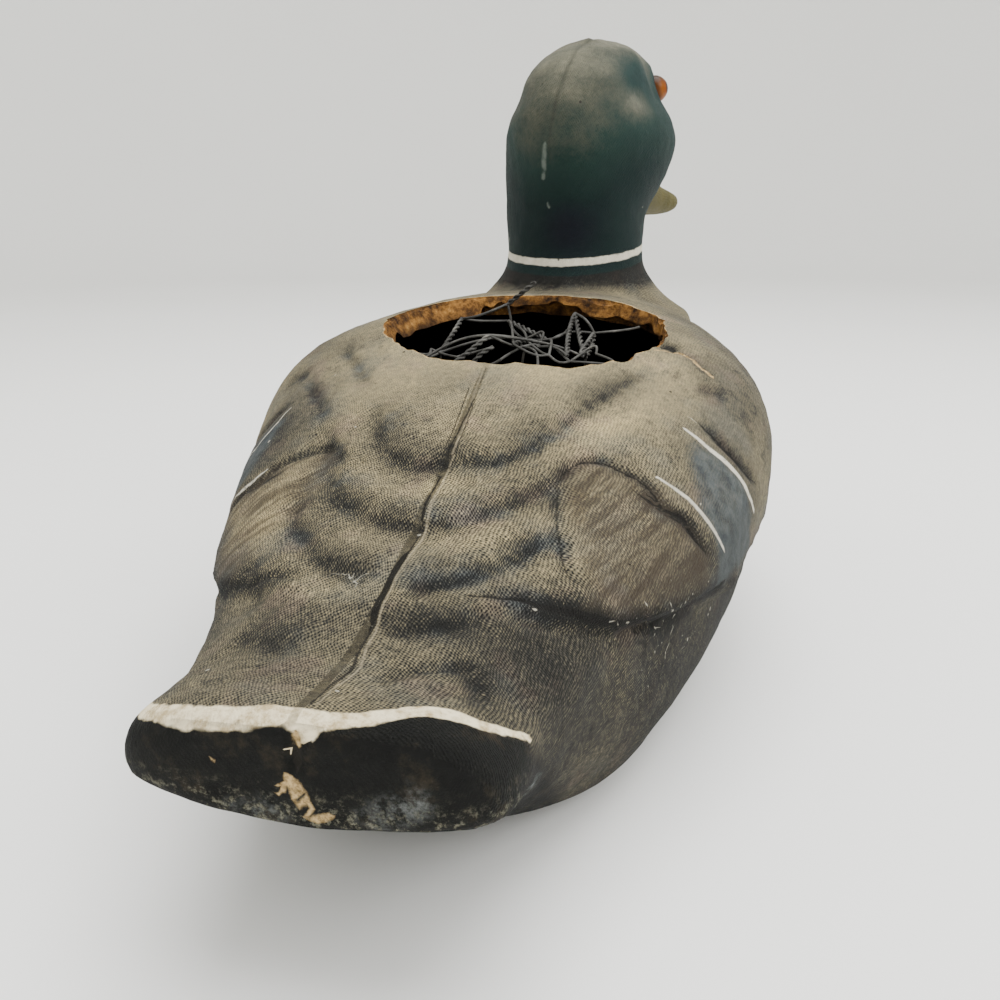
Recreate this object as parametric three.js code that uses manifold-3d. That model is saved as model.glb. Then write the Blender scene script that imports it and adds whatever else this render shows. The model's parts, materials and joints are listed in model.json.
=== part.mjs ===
// Moulded papier-mache mallard drake decoy, hollow, with a planter opening cut in its back,
// glass eyes and crumpled hexagonal netting standing in the hollow.
// Millimetres, +Z up, the bill towards -Y, the duck's left towards +X, the flat underside on z = 0.
import * as THREE from 'three';
import { ParametricGeometry } from 'three/addons/geometries/ParametricGeometry.js';
import { mergeVertices } from 'three/addons/utils/BufferGeometryUtils.js';
import Module from 'manifold-3d';

const wasm = await Module();
wasm.setup();

// Thickness of the pulp, how much thicker it is at the two ends, and the least share of its size that the
// hollow keeps where the outside is narrow.
const WALL = 5.5;
const END_WALL = 7.7;
const HOLLOW_SHARE = 0.35;
// Clearance round a piece let into another, and the lengths below which edges and points are joined.
const GAP = 0.3;
const SHORTEST_EDGE = 0.03;
const SAME_POINT = 1e-4;

// Body stations from the tail to the breast: half is the half width, top, mid and base are heights,
// flat is the half width of the flat underside, crown and belly the fullness of the upper and the lower
// curve, and rows the number of grid rows up to the next station.
const BODY = [
  { y: 163.5, half: 2, top: 46, mid: 44, base: 42, flat: 0, crown: 2.2, belly: 2, rows: 1 },
  { y: 163.5, half: 19, top: 52, mid: 43, base: 38, flat: 0, crown: 2.4, belly: 2.1, rows: 1 },
  { y: 161.5, half: 28, top: 54.5, mid: 42, base: 36, flat: 0, crown: 2.6, belly: 2.2, rows: 1 },
  { y: 158, half: 31.5, top: 55, mid: 41, base: 34.8, flat: 0, crown: 2.7, belly: 2.2, rows: 1 },
  { y: 153, half: 33, top: 54.5, mid: 40.5, base: 32.2, flat: 0, crown: 2.7, belly: 2.1, rows: 3 },
  { y: 141, half: 33.5, top: 54, mid: 41, base: 23.5, flat: 6, crown: 2.6, belly: 2.1, rows: 6 },
  { y: 116, half: 41.5, top: 60.5, mid: 41.5, base: 9, flat: 17, crown: 2.35, belly: 2.1, rows: 7 },
  { y: 85, half: 55, top: 70.5, mid: 44.5, base: 0, flat: 26, crown: 2.25, belly: 2.2, rows: 7 },
  { y: 47, half: 66.3, top: 85.5, mid: 51, base: 0, flat: 34, crown: 2.4, belly: 2.2, rows: 5 },
  { y: 14, half: 72, top: 97.5, mid: 57, base: 0, flat: 34, crown: 2.65, belly: 2.15, rows: 3 },
  { y: -23, half: 70, top: 99.5, mid: 57, base: 0, flat: 36, crown: 2.4, belly: 2.1, rows: 3 },
  { y: -63, half: 63, top: 98, mid: 55, base: 0, flat: 36, crown: 2.25, belly: 2, rows: 3 },
  { y: -99, half: 54, top: 93, mid: 54, base: 2, flat: 28, crown: 2.1, belly: 2, rows: 3 },
  { y: -130, half: 42, top: 84, mid: 52, base: 8, flat: 16, crown: 2.1, belly: 2, rows: 3 },
  { y: -153, half: 24, top: 71, mid: 48, base: 20, flat: 4, crown: 2.2, belly: 2, rows: 2 },
  { y: -163.5, half: 2, top: 50, mid: 47, base: 44, flat: 0, crown: 2.2, belly: 2, rows: 0 },
];

// Neck and head stations upwards, in level slices: back and front are distances from the neck's axis,
// widest is where along that line the slice is broadest, half is its half width there, and lean is how far
// the old moulding has slumped towards the duck's right.
const NECK = { x: -4.3, y: -71, turn: THREE.MathUtils.degToRad(12.5) };
const HEAD = [
  { z: 83, back: -24, widest: 0, front: 30, half: 40, lean: 0 },
  { z: 88, back: -38, widest: 0, front: 40, half: 41.5, lean: 0 },
  { z: 94, back: -33, widest: 0, front: 33, half: 33.5, lean: 0 },
  { z: 100, back: -27.5, widest: 0, front: 28, half: 27.5, lean: 0 },
  { z: 106, back: -24, widest: 0, front: 25, half: 24, lean: 0 },
  { z: 112, back: -23.3, widest: 0, front: 24.5, half: 23.4, lean: 0 },
  { z: 121, back: -24, widest: 0, front: 26, half: 23.7, lean: 0 },
  { z: 129, back: -25.5, widest: 3, front: 32, half: 25.2, lean: 0.6 },
  { z: 137, back: -27, widest: 7, front: 40, half: 27, lean: 1.4 },
  { z: 146, back: -29, widest: 10, front: 45, half: 28, lean: 2.2 },
  { z: 153, back: -29, widest: 9, front: 45, half: 26.2, lean: 2.5 },
  { z: 159, back: -28, widest: 6, front: 43, half: 22.6, lean: 3.1 },
  { z: 165, back: -25, widest: 4, front: 40.5, half: 21, lean: 3.6 },
  { z: 170.5, back: -19.5, widest: 4, front: 35.5, half: 18.2, lean: 3.8 },
  { z: 175, back: -12, widest: 5, front: 29.5, half: 14, lean: 4 },
  { z: 178.2, back: -3, widest: 8, front: 22, half: 8.5, lean: 4 },
  { z: 180, back: 7, widest: 9, front: 11, half: 1, lean: 4 },
];

// Bill stations forwards, in upright slices across the head's own forward line.
const BILL = [
  { u: 28, half: 13, top: 142, base: 124 },
  { u: 44, half: 13, top: 142, base: 122.5 },
  { u: 54, half: 12.4, top: 137.5, base: 122 },
  { u: 65, half: 13.2, top: 134.5, base: 121.8 },
  { u: 75, half: 14.2, top: 132.5, base: 122 },
  { u: 82.5, half: 13, top: 131, base: 122.6 },
  { u: 87, half: 9, top: 129.8, base: 123.6 },
  { u: 88.6, half: 2, top: 127.6, base: 125.6 },
];
const BILL_LEAN = 0.4;
const BILL_CORNER = 0.8;

const EYE = { u: 22, z: 164.2, radius: 4.6, out: 16.4, lean: 3.6 };

// The opening cut in the back, an oval made uneven by a few shallow waves round its edge.
const HOLE = {
  x: -4, y: 11, half: 38.5, long: 30.5, fullness: 2.4, from: 60, to: 112,
  waves: [{ height: 0.018, count: 3, start: 1 }, { height: 0.012, count: 7, start: 0 }],
};

// Grid steps of the lofts, of the eyes and of the opening's outline.
const STEPS = {
  bodyRound: 50, hollowAlong: 18, hollowRound: 22, headUp: 20, headRound: 22,
  throatUp: 10, throatRound: 12, billAlong: 8, billRound: 12, eyeRound: 10, eyeUp: 7, holeRound: 44,
};
// Share of the steps round the body that lie on its upper half, share of the lower half's steps that lie on
// the curved flank, and the widest that the flat underside may be beside the body.
const UPPER_SHARE = 0.68;
const FLANK_SHARE = 0.75;
const FLATTEST = 0.85;
// Length of a quarter round over the sum of its two radii.
const QUARTER_ARC = Math.PI / 4;

// The relief of a feather row: how far behind its line it still shows, where its edge rises, how its two ends
// run out past its reach, the girth past which there are no rows, and the heights over which all relief
// fades out above the underside.
const RELIEF = { fade: 9, edge: [-2.5, 2], ends: [-6, 4], lowest: 60, foot: [2, 12] };

// Scalloped feather rows across the back, each a hyperbola that opens forwards.
const ROWS = [
  { apex: 83, bend: 16, slope: 1.5, reach: 44, depth: 2 },
  { apex: 102, bend: 45, slope: 1.9, reach: 36, depth: 2 },
  { apex: 120, bend: 45, slope: 1.9, reach: 33, depth: 1.8 },
  { apex: 128, bend: 45, slope: 1.7, reach: 20, depth: 1 },
  { apex: 135, bend: 45, slope: 1.5, reach: 22, depth: 0.8 },
];

// Creases as routes of [y, girth], girth being the way down the skin from the ridge of the back.
const WING_EDGE = {
  depth: 3.2,
  wall: 3.5,
  fade: 18,
  starts: [8, 26],
  route: [
    [122, 0], [119, 16], [115, 26], [107, 41], [91, 56], [57, 82], [14, 97], [-25, 95], [-62, 80], [-88, 58],
  ],
};
const CREASES = [
  { depth: 1.3, width: 2.4, route: [[116, 16], [100, 14.5], [85, 17], [74, 22], [77, 40], [79, 56]] },
  { depth: 1.1, width: 2.4, route: [[47, 42], [44, 53], [32, 86]] },
  { depth: 0.9, width: 2.2, route: [[68, 35], [70, 47], [68, 66]] },
  { depth: 1.1, width: 2.6, route: [[49, 20], [36, 30], [24, 33]] },
  { depth: 1, width: 2.6, route: [[65, 25], [52, 33], [40, 40], [32, 52]] },
];

// Hexagonal netting: knots are points, and each run joins two of them by a twisted pair or one strand.
const WIRE = { twist: { radius: 0.95, sides: 4 }, strand: { radius: 0.55, sides: 3 } };
const KNOTS = {
  rimA: [13.2, 36, 84.5], a: [4, 23, 92.5], b: [-2.6, 23, 90.3], c: [-12.7, 25, 87.9], d: [-18.7, 27, 86.6],
  e: [-29, 29, 86.5], low: [-21.5, 19, 86.5], rise: [-21.9, 5, 91.4], tipR: [-33.7, -3, 92.4],
  post: [-15.2, -3, 96], left: [21, 27, 86.5], e0: [18.7, 20, 87], e1: [17, 3, 94.5], bend: [4, 0, 98.6],
  tip: [-4.4, 2, 105], knot: [-4.5, 15, 90.4], far: [4.2, -1, 93.6], stray: [-9.8, 9, 89.4],
  under1: [20, 14, 64], under2: [2, 9, 60], under3: [-20, 8, 62], under4: [-30, 20, 70],
  foot1: [24, 2, 34], foot2: [6, -3, 26], foot3: [-16, 0, 30], foot4: [-4, 24, 34], foot5: [-30, 10, 40],
  base1: [16, 10, 6.5], base2: [-12, 14, 6.5], base3: [1, -4, 6.5],
};
const RUNS = [
  ['rimA', 'a', 'twist'], ['a', 'b', 'strand'], ['b', 'c', 'strand'], ['c', 'd', 'strand'],
  ['d', 'e', 'strand'], ['d', 'low', 'strand'], ['low', 'rise', 'twist'], ['rise', 'tipR', 'strand'],
  ['rise', 'post', 'strand'],
  ['post', 'low', 'twist'], ['rimA', 'left', 'strand'], ['left', 'e0', 'strand'], ['e0', 'e1', 'twist'],
  ['e1', 'bend', 'strand'], ['bend', 'tip', 'twist'], ['a', 'knot', 'strand'], ['knot', 'b', 'twist'],
  ['knot', 'far', 'strand'], ['far', 'stray', 'strand'], ['far', 'bend', 'strand'], ['stray', 'c', 'strand'],
  ['e0', 'under1', 'strand'], ['knot', 'under2', 'strand'], ['low', 'under3', 'strand'],
  ['e', 'under4', 'strand'],
  ['under1', 'under2', 'twist'], ['under2', 'under3', 'strand'], ['under3', 'under4', 'twist'],
  ['under1', 'foot1', 'strand'], ['under2', 'foot2', 'strand'], ['under3', 'foot3', 'strand'],
  ['under2', 'foot4', 'strand'], ['under4', 'foot5', 'strand'], ['foot1', 'foot2', 'twist'],
  ['foot2', 'foot3', 'strand'], ['foot3', 'foot4', 'twist'], ['foot3', 'foot5', 'strand'],
  ['foot1', 'base1', 'strand'], ['foot4', 'base1', 'strand'], ['foot3', 'base2', 'strand'],
  ['foot2', 'base3', 'strand'],
];

const FINISH = {
  pulp: { color: 0x7b7162, roughness: 0.9, metalness: 0 },
  glass: { color: 0xa8601c, roughness: 0.15, metalness: 0 },
  wire: { color: 0x6f7276, roughness: 0.5, metalness: 0.8 },
};

const mix = (a, b, t) => a + (b - a) * t;
const { clamp, smoothstep } = THREE.MathUtils;

/** Value of one field along a list of stations at t from 0 to 1, by a cubic that never overshoots. */
function glide(stations, field, t) {
  const place = clamp(t, 0, 1) * (stations.length - 1);
  const i = Math.min(Math.floor(place), stations.length - 2);
  const at = (k) => stations[k][field];
  const step = (k) => at(k + 1) - at(k);
  const slope = (k) => {
    if (k === 0) return step(0);
    if (k === stations.length - 1) return step(k - 1);
    const before = step(k - 1);
    const after = step(k);
    return before * after > 0 ? (2 * before * after) / (before + after) : 0;
  };
  const h = place - i;
  return at(i) * (1 + 2 * h) * (1 - h) ** 2 + slope(i) * h * (1 - h) ** 2
    + at(i + 1) * h * h * (3 - 2 * h) + slope(i + 1) * h * h * (h - 1);
}

/** Distance from a point to a route, and the side of it that the point is on: 1 or -1. */
function toRoute(route, y, girth) {
  let best = { distance: Infinity, side: 1 };
  for (let k = 0; k < route.length - 1; k++) {
    const [ay, ag] = route[k];
    const [by, bg] = route[k + 1];
    const dy = by - ay;
    const dg = bg - ag;
    const t = clamp(((y - ay) * dy + (girth - ag) * dg) / (dy * dy + dg * dg), 0, 1);
    const oy = y - ay - t * dy;
    const og = girth - ag - t * dg;
    const distance = Math.hypot(oy, og);
    if (distance < best.distance) best = { distance, side: Math.sign(dg * oy - dy * og) || 1 };
  }
  return best;
}

/** Depth of the moulded feather relief below the smooth skin, for a point of the body. */
function reliefDepth(x, y, girth) {
  const across = Math.abs(x);
  let depth = 0;
  for (const row of ROWS) {
    const line = row.apex + row.bend - Math.hypot(row.bend, row.slope * across);
    const behind = y - line;
    if (girth > RELIEF.lowest) continue;
    const edge = smoothstep(behind, ...RELIEF.edge);
    const sideFade = 1 - smoothstep(across - row.reach, ...RELIEF.ends);
    depth = Math.max(depth, row.depth * edge * Math.exp(-Math.max(behind, 0) / RELIEF.fade) * sideFade);
  }
  for (const crease of CREASES) {
    const { distance } = toRoute(crease.route, y, girth);
    depth = Math.max(depth, crease.depth * Math.exp(-((distance / crease.width) ** 2)));
  }
  const wing = toRoute(WING_EDGE.route, y, girth);
  if (wing.side > 0) {
    const wall = smoothstep(wing.distance, 0, WING_EDGE.wall);
    const clear = smoothstep(girth, ...WING_EDGE.starts);
    depth = Math.max(depth, WING_EDGE.depth * wall * clear * Math.exp(-wing.distance / WING_EDGE.fade));
  }
  return depth;
}

/** Where the grid rows of the body lie, as values of t, closer together where the feathers are. */
function bodyRows() {
  const places = [0];
  BODY.forEach(({ rows }, station) => {
    for (let k = 1; k <= rows; k++) places.push((station + k / rows) / (BODY.length - 1));
  });
  return places;
}

/** A size of the outer skin, or of the hollow's wall where inset is the wall's thickness. */
const inside = (size, inset) => Math.max(size - inset, size * (inset > 0 ? HOLLOW_SHARE : 1));

/** A point of the body's skin: t runs tail to breast and round from -1 to 1, 0 being the ridge. */
function bodyPoint(t, round, inset, target) {
  const value = (field) => glide(BODY, field, t);
  const mid = value('mid');
  const half = inside(value('half'), inset);
  const rise = inside(value('top') - mid, inset);
  const drop = inside(mid - value('base'), inset);
  const flat = Math.min(value('flat'), half * FLATTEST);
  const share = Math.abs(round);
  const q = share <= UPPER_SHARE ? share / UPPER_SHARE : 1 + (share - UPPER_SHARE) / (1 - UPPER_SHARE);
  const angle = Math.min(q, 1) * Math.PI / 2;
  const power = 2 / value('crown');
  const upperGirth = QUARTER_ARC * (half + rise);
  let x = half * Math.sin(angle) ** power;
  let z = mid + rise * Math.cos(angle) ** power;
  let girth = upperGirth * q;
  if (q > 1) {
    const inward = Math.min(1, (q - 1) / FLANK_SHARE);
    const turn = inward * Math.PI / 2;
    const belly = 2 / value('belly');
    x = inward < 1 ? mix(flat, half, Math.cos(turn) ** belly) : flat * (2 - q) / (1 - FLANK_SHARE);
    z = mid - drop * Math.sin(turn) ** belly;
    girth = upperGirth + QUARTER_ARC * (half - flat + drop) * inward;
  }
  const y = value('y');
  const end = inset * END_WALL / WALL;
  const depth = reliefDepth(x, y, girth) * smoothstep(z, ...RELIEF.foot);
  const upright = z > mid ? rise : drop;
  const outward = new THREE.Vector2(x / (half * half), (z - mid) / (upright * upright)).normalize();
  x -= depth * outward.x;
  z -= depth * outward.y;
  target.set(Math.sign(round) * x, clamp(y, BODY.at(-1).y + end, BODY[0].y - end), z);
}

/** A point of the neck and head: t runs upwards and round from -1 to 1, 0 being the face. */
function headPoint(t, round, inset, target) {
  const value = (field) => glide(HEAD, field, t);
  const widest = value('widest');
  const angle = round * Math.PI;
  const along = Math.cos(angle);
  const reach = inside(along > 0 ? value('front') - widest : widest - value('back'), inset);
  const u = widest + reach * along;
  const v = inside(value('half'), inset) * Math.sin(angle) + value('lean');
  placeOnHead(u, v, Math.min(value('z'), HEAD.at(-1).z - inset), target);
}

/** A point of the bill: t runs forwards, and round from -1 to 1 goes about it. */
function billPoint(t, round, target) {
  const value = (field) => glide(BILL, field, t);
  const angle = round * Math.PI;
  const middle = (value('top') + value('base')) / 2;
  const thick = (value('top') - value('base')) / 2;
  const square = (wave) => Math.sign(wave) * Math.abs(wave) ** BILL_CORNER;
  const v = value('half') * square(Math.sin(angle));
  placeOnHead(value('u'), v + BILL_LEAN, middle + thick * square(Math.cos(angle)), target);
}

/** Turns the head's own forward, right and up into the part's frame. */
function placeOnHead(u, v, z, target) {
  const { x, y, turn } = NECK;
  target.set(x - u * Math.sin(turn) - v * Math.cos(turn), y - u * Math.cos(turn) + v * Math.sin(turn), z);
}

/** A closed manifold solid from any three.js geometry whose outline is watertight. */
function solid(geometry) {
  const bare = geometry.clone();
  bare.deleteAttribute('normal');
  bare.deleteAttribute('uv');
  const merged = mergeVertices(bare, SAME_POINT);
  const place = merged.attributes.position;
  const index = merged.index.array;
  const corner = (i) => new THREE.Vector3().fromBufferAttribute(place, i);
  const kept = [];
  let volume = 0;
  for (let k = 0; k < index.length; k += 3) {
    const [a, b, c] = [index[k], index[k + 1], index[k + 2]];
    if (a === b || b === c || c === a) continue;
    kept.push([a, b, c]);
    volume += corner(a).dot(corner(b).cross(corner(c)));
  }
  const triVerts = new Uint32Array(kept.map(([a, b, c]) => (volume > 0 ? [a, b, c] : [a, c, b])).flat());
  const vertProperties = new Float32Array(place.array);
  return new wasm.Manifold(new wasm.Mesh({ numProp: 3, vertProperties, triVerts }));
}

/** Evenly spaced values from 0 to 1. */
const evenly = (steps) => Array.from({ length: steps + 1 }, (_, k) => k / steps);

/** A closed loft of a point function through the given rows, each end drawn together to one point. */
function loft(pointAt, rows, around) {
  const spot = new THREE.Vector3();
  const centreOf = (t) => {
    const centre = new THREE.Vector3();
    for (let k = 0; k < around; k++) {
      pointAt(t, (2 * k) / around - 1, spot);
      centre.addScaledVector(spot, 1 / around);
    }
    return centre;
  };
  const ends = [centreOf(0), centreOf(1)];
  const last = rows.length + 1;
  const place = (a, b, target) => {
    const row = Math.round(b * last);
    if (row === 0 || row === last) target.copy(ends[row === 0 ? 0 : 1]);
    else pointAt(rows[row - 1], 2 * (a % 1) - 1, target);
  };
  return solid(new ParametricGeometry(place, around, last));
}

/** The cutter for the opening in the back: an uneven oval prism. */
function holeCutter() {
  const full = (wave) => Math.sign(wave) * Math.abs(wave) ** (2 / HOLE.fullness);
  const outline = Array.from({ length: STEPS.holeRound }, (_, k) => {
    const angle = (k / STEPS.holeRound) * Math.PI * 2;
    const wave = ({ height, count, start }) => height * Math.sin(count * angle + start);
    const wobble = HOLE.waves.reduce((sum, each) => sum + wave(each), 1);
    const x = HOLE.half * full(Math.cos(angle)) * wobble;
    const y = HOLE.long * full(Math.sin(angle)) * wobble;
    return new THREE.Vector2(HOLE.x + x, HOLE.y + y);
  });
  const shape = new THREE.Shape(outline);
  const prism = new THREE.ExtrudeGeometry(shape, { depth: HOLE.to - HOLE.from, bevelEnabled: false });
  return solid(prism.translate(0, 0, HOLE.from));
}

/** A glass eye on one side, 1 for the duck's left and -1 for its right. */
function eyeBall(side, grow) {
  const ball = new THREE.SphereGeometry(EYE.radius + grow, STEPS.eyeRound, STEPS.eyeUp);
  const place = new THREE.Vector3();
  placeOnHead(EYE.u, EYE.lean - side * EYE.out, EYE.z, place);
  return solid(ball.translate(place.x, place.y, place.z));
}

/** One straight run of netting wire between two knots. */
function wireRun(from, to, { radius, sides }) {
  const start = new THREE.Vector3(...KNOTS[from]);
  const end = new THREE.Vector3(...KNOTS[to]);
  const way = end.clone().sub(start);
  const rod = new THREE.CylinderGeometry(radius, radius, way.length() + radius, sides);
  const up = new THREE.Vector3(0, 1, 0);
  rod.applyQuaternion(new THREE.Quaternion().setFromUnitVectors(up, way.clone().normalize()));
  const middle = start.clone().addScaledVector(way, 0.5);
  return solid(rod.translate(middle.x, middle.y, middle.z));
}

/** The triangles of a solid with the ends of every very short edge joined, so that no sliver is left. */
function withoutSlivers({ vertProperties, triVerts }, shortest) {
  const joined = Array.from({ length: vertProperties.length / 3 }, (_, k) => k);
  const root = (k) => {
    while (joined[k] !== k) k = joined[k];
    return k;
  };
  const corner = (k) => new THREE.Vector3().fromArray(vertProperties, 3 * k);
  for (let k = 0; k < triVerts.length; k++) {
    const a = root(triVerts[k]);
    const b = root(triVerts[k % 3 === 2 ? k - 2 : k + 1]);
    if (a !== b && corner(a).distanceTo(corner(b)) < shortest) joined[Math.max(a, b)] = Math.min(a, b);
  }
  const kept = [];
  for (let k = 0; k < triVerts.length; k += 3) {
    const [a, b, c] = [root(triVerts[k]), root(triVerts[k + 1]), root(triVerts[k + 2])];
    if (a !== b && b !== c && c !== a) kept.push(a, b, c);
  }
  return kept;
}

/** A named mesh of a finished solid in one plain finish. */
function named(name, manifold, finish) {
  const mesh3d = manifold.getMesh();
  const geometry = new THREE.BufferGeometry();
  geometry.setAttribute('position', new THREE.BufferAttribute(new Float32Array(mesh3d.vertProperties), 3));
  geometry.setIndex(withoutSlivers(mesh3d, SHORTEST_EDGE));
  const skin = mergeVertices(geometry.toNonIndexed(), SAME_POINT);
  skin.computeVertexNormals();
  const mesh = new THREE.Mesh(skin, new THREE.MeshStandardMaterial(finish));
  mesh.name = name;
  return mesh;
}

const outer = loft((t, r, p) => bodyPoint(t, r, 0, p), bodyRows(), STEPS.bodyRound)
  .add(loft((t, r, p) => headPoint(t, r, 0, p), evenly(STEPS.headUp), STEPS.headRound))
  .add(loft(billPoint, evenly(STEPS.billAlong), STEPS.billRound));
const hollow = loft((t, r, p) => bodyPoint(t, r, WALL, p), evenly(STEPS.hollowAlong), STEPS.hollowRound)
  .add(loft((t, r, p) => headPoint(t, r, WALL, p), evenly(STEPS.throatUp), STEPS.throatRound));
const sockets = eyeBall(1, GAP).add(eyeBall(-1, GAP));
const shell = outer.subtract(hollow).subtract(holeCutter()).subtract(sockets);

const netting = RUNS
  .map(([from, to, kind]) => wireRun(from, to, WIRE[kind]))
  .reduce((whole, run) => whole.add(run));

const decoy = new THREE.Group();
decoy.add(named('decoy_shell', shell, FINISH.pulp));
decoy.add(named('eye_left', eyeBall(1, 0), FINISH.glass));
decoy.add(named('eye_right', eyeBall(-1, 0), FINISH.glass));
decoy.add(named('wire_netting', netting, FINISH.wire));
export default decoy;
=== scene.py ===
"""The looks of an old moulded-pulp mallard drake decoy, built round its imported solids."""
import json
import logging
import math
from dataclasses import dataclass, field
from enum import Enum
from typing import Any, Sequence

import bpy
import numpy as np
from mathutils import Matrix, Vector, noise
from mathutils.kdtree import KDTree

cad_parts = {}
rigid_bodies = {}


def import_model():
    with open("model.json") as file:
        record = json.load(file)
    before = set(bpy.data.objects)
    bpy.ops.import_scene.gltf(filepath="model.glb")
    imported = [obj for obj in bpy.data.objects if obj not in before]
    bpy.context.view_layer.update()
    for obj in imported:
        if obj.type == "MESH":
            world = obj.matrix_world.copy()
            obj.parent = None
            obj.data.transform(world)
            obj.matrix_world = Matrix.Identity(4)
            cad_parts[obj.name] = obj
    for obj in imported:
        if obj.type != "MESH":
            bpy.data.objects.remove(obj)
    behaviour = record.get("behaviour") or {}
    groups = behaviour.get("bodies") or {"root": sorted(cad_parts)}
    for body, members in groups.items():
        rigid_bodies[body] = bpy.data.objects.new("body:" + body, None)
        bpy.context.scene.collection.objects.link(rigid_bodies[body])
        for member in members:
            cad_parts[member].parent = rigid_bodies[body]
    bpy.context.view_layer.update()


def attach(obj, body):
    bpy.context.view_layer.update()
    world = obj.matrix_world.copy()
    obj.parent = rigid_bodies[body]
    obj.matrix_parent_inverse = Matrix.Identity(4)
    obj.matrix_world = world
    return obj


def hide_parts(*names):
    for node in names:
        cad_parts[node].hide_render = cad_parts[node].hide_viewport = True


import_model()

LOG = logging.getLogger("decoy")
MM = 0.001
ROOT = "root"
FAR = 5.0  # the furthest that a layer of paint measures from its own edge, in millimetres
Array = np.ndarray
Point = tuple[float, float, float]
Table = tuple[tuple[float, float], ...]
Piece = bpy.types.Object
Rgb = tuple[int, int, int]
Pair = tuple[Rgb, Rgb]
Stops = tuple[tuple[float, int, int, int], ...]


def srgb(red: int, green: int, blue: int) -> tuple[float, float, float, float]:
    """A colour given as seen on a screen, from 0 to 255, as Blender's linear colour."""
    linear = [c / 3294.6 if c <= 10 else ((c / 255 + 0.055) / 1.055) ** 2.4 for c in (red, green, blue)]
    return (*linear, 1.0)


def smoothstep(value: Array, low: float, high: float) -> Array:
    """A smooth rise from 0 at low to 1 at high."""
    h = np.clip((value - low) / (high - low), 0, 1)
    return h * h * (3 - 2 * h)


def bell(distance: Array, width: float) -> Array:
    """A smooth hump of height 1 at distance 0."""
    return np.exp(-((distance / width) ** 2))


def glide(values: Sequence[float], t: Array) -> Array:
    """A cubic along station values that never overshoots them.

    Args:
        values: one value for each station.
        t: places along the stations, from 0 to 1.

    Returns:
        The value at each place.
    """
    stops = np.asarray(values, float)
    steps = np.diff(stops)
    before, after = steps[:-1], steps[1:]
    total = np.where(before + after == 0, 1, before + after)
    inner = np.where(before * after > 0, 2 * before * after / total, 0)
    slopes = np.concatenate([steps[:1], inner, steps[-1:]])
    place = np.clip(t, 0, 1) * (len(stops) - 1)
    i = np.minimum(place.astype(int), len(stops) - 2)
    h = place - i
    start = stops[i] * (1 + 2 * h) * (1 - h) ** 2 + slopes[i] * h * (1 - h) ** 2
    return start + stops[i + 1] * h * h * (3 - 2 * h) + slopes[i + 1] * h * h * (h - 1)


def clouds(points: Array, size: float, shift: float = 0.0) -> Array:
    """Smooth noise from about -1 to 1 at points in millimetres, with lumps of the given size."""
    offset = Vector((shift, 2.3 * shift, -1.7 * shift))
    return np.array([noise.noise(Vector(p) / size + offset) for p in points])


def layered(points: Array, layers: Sequence[Point]) -> Array:
    """Noise in several layers, each given by its depth, the size of its lumps and its shift."""
    return sum(depth * clouds(points, size, shift) for depth, size, shift in layers)


def humps(points: Array, spots: Sequence[tuple[Any, float, float]]) -> Array:
    """Smooth humps added up, each given by its middle, its width and its height."""
    gaps = (np.linalg.norm(points - np.asarray(middle), axis=1) for middle, _, _ in spots)
    return sum(height * bell(gap, width) for gap, (_, width, height) in zip(gaps, spots))


def read_table(table: Table, place: Array) -> Array:
    """Reads off a table of places and values, straight between its rows."""
    return np.interp(place, *zip(*table))


def tapered(share: Array, fade: float) -> Array:
    """1 along a line, falling to 0 within a share of its length at both ends."""
    return smoothstep(share, 0, fade) * smoothstep(1 - share, 0, fade)


class Side(Enum):
    """A side of the duck: its left is +X."""

    LEFT = 1
    RIGHT = -1


@dataclass(frozen=True)
class BodyStation:
    """One upright section of the body, in millimetres."""

    y: float
    half: float
    top: float
    mid: float
    base: float
    flat: float
    crown: float
    belly: float


@dataclass(frozen=True)
class HeadStation:
    """One level slice of the neck or head, in millimetres."""

    z: float
    back: float
    widest: float
    front: float
    half: float
    lean: float


@dataclass(frozen=True)
class BillStation:
    """One upright slice of the bill, in millimetres."""

    u: float
    half: float
    top: float
    base: float


def inside(size: Array, inset: float) -> Array:
    """A size of the outer skin, or of the hollow where inset is the thickness of the wall."""
    least = 0.35 if inset > 0 else 1.0
    return np.maximum(size - inset, size * least)


class Stationed:
    """A form set out by stations, each a section of it."""

    stations: tuple[Any, ...]

    def values(self, name: str, t: Array) -> Array:
        """One field of the stations at places t."""
        return glide([getattr(station, name) for station in self.stations], t)


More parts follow.
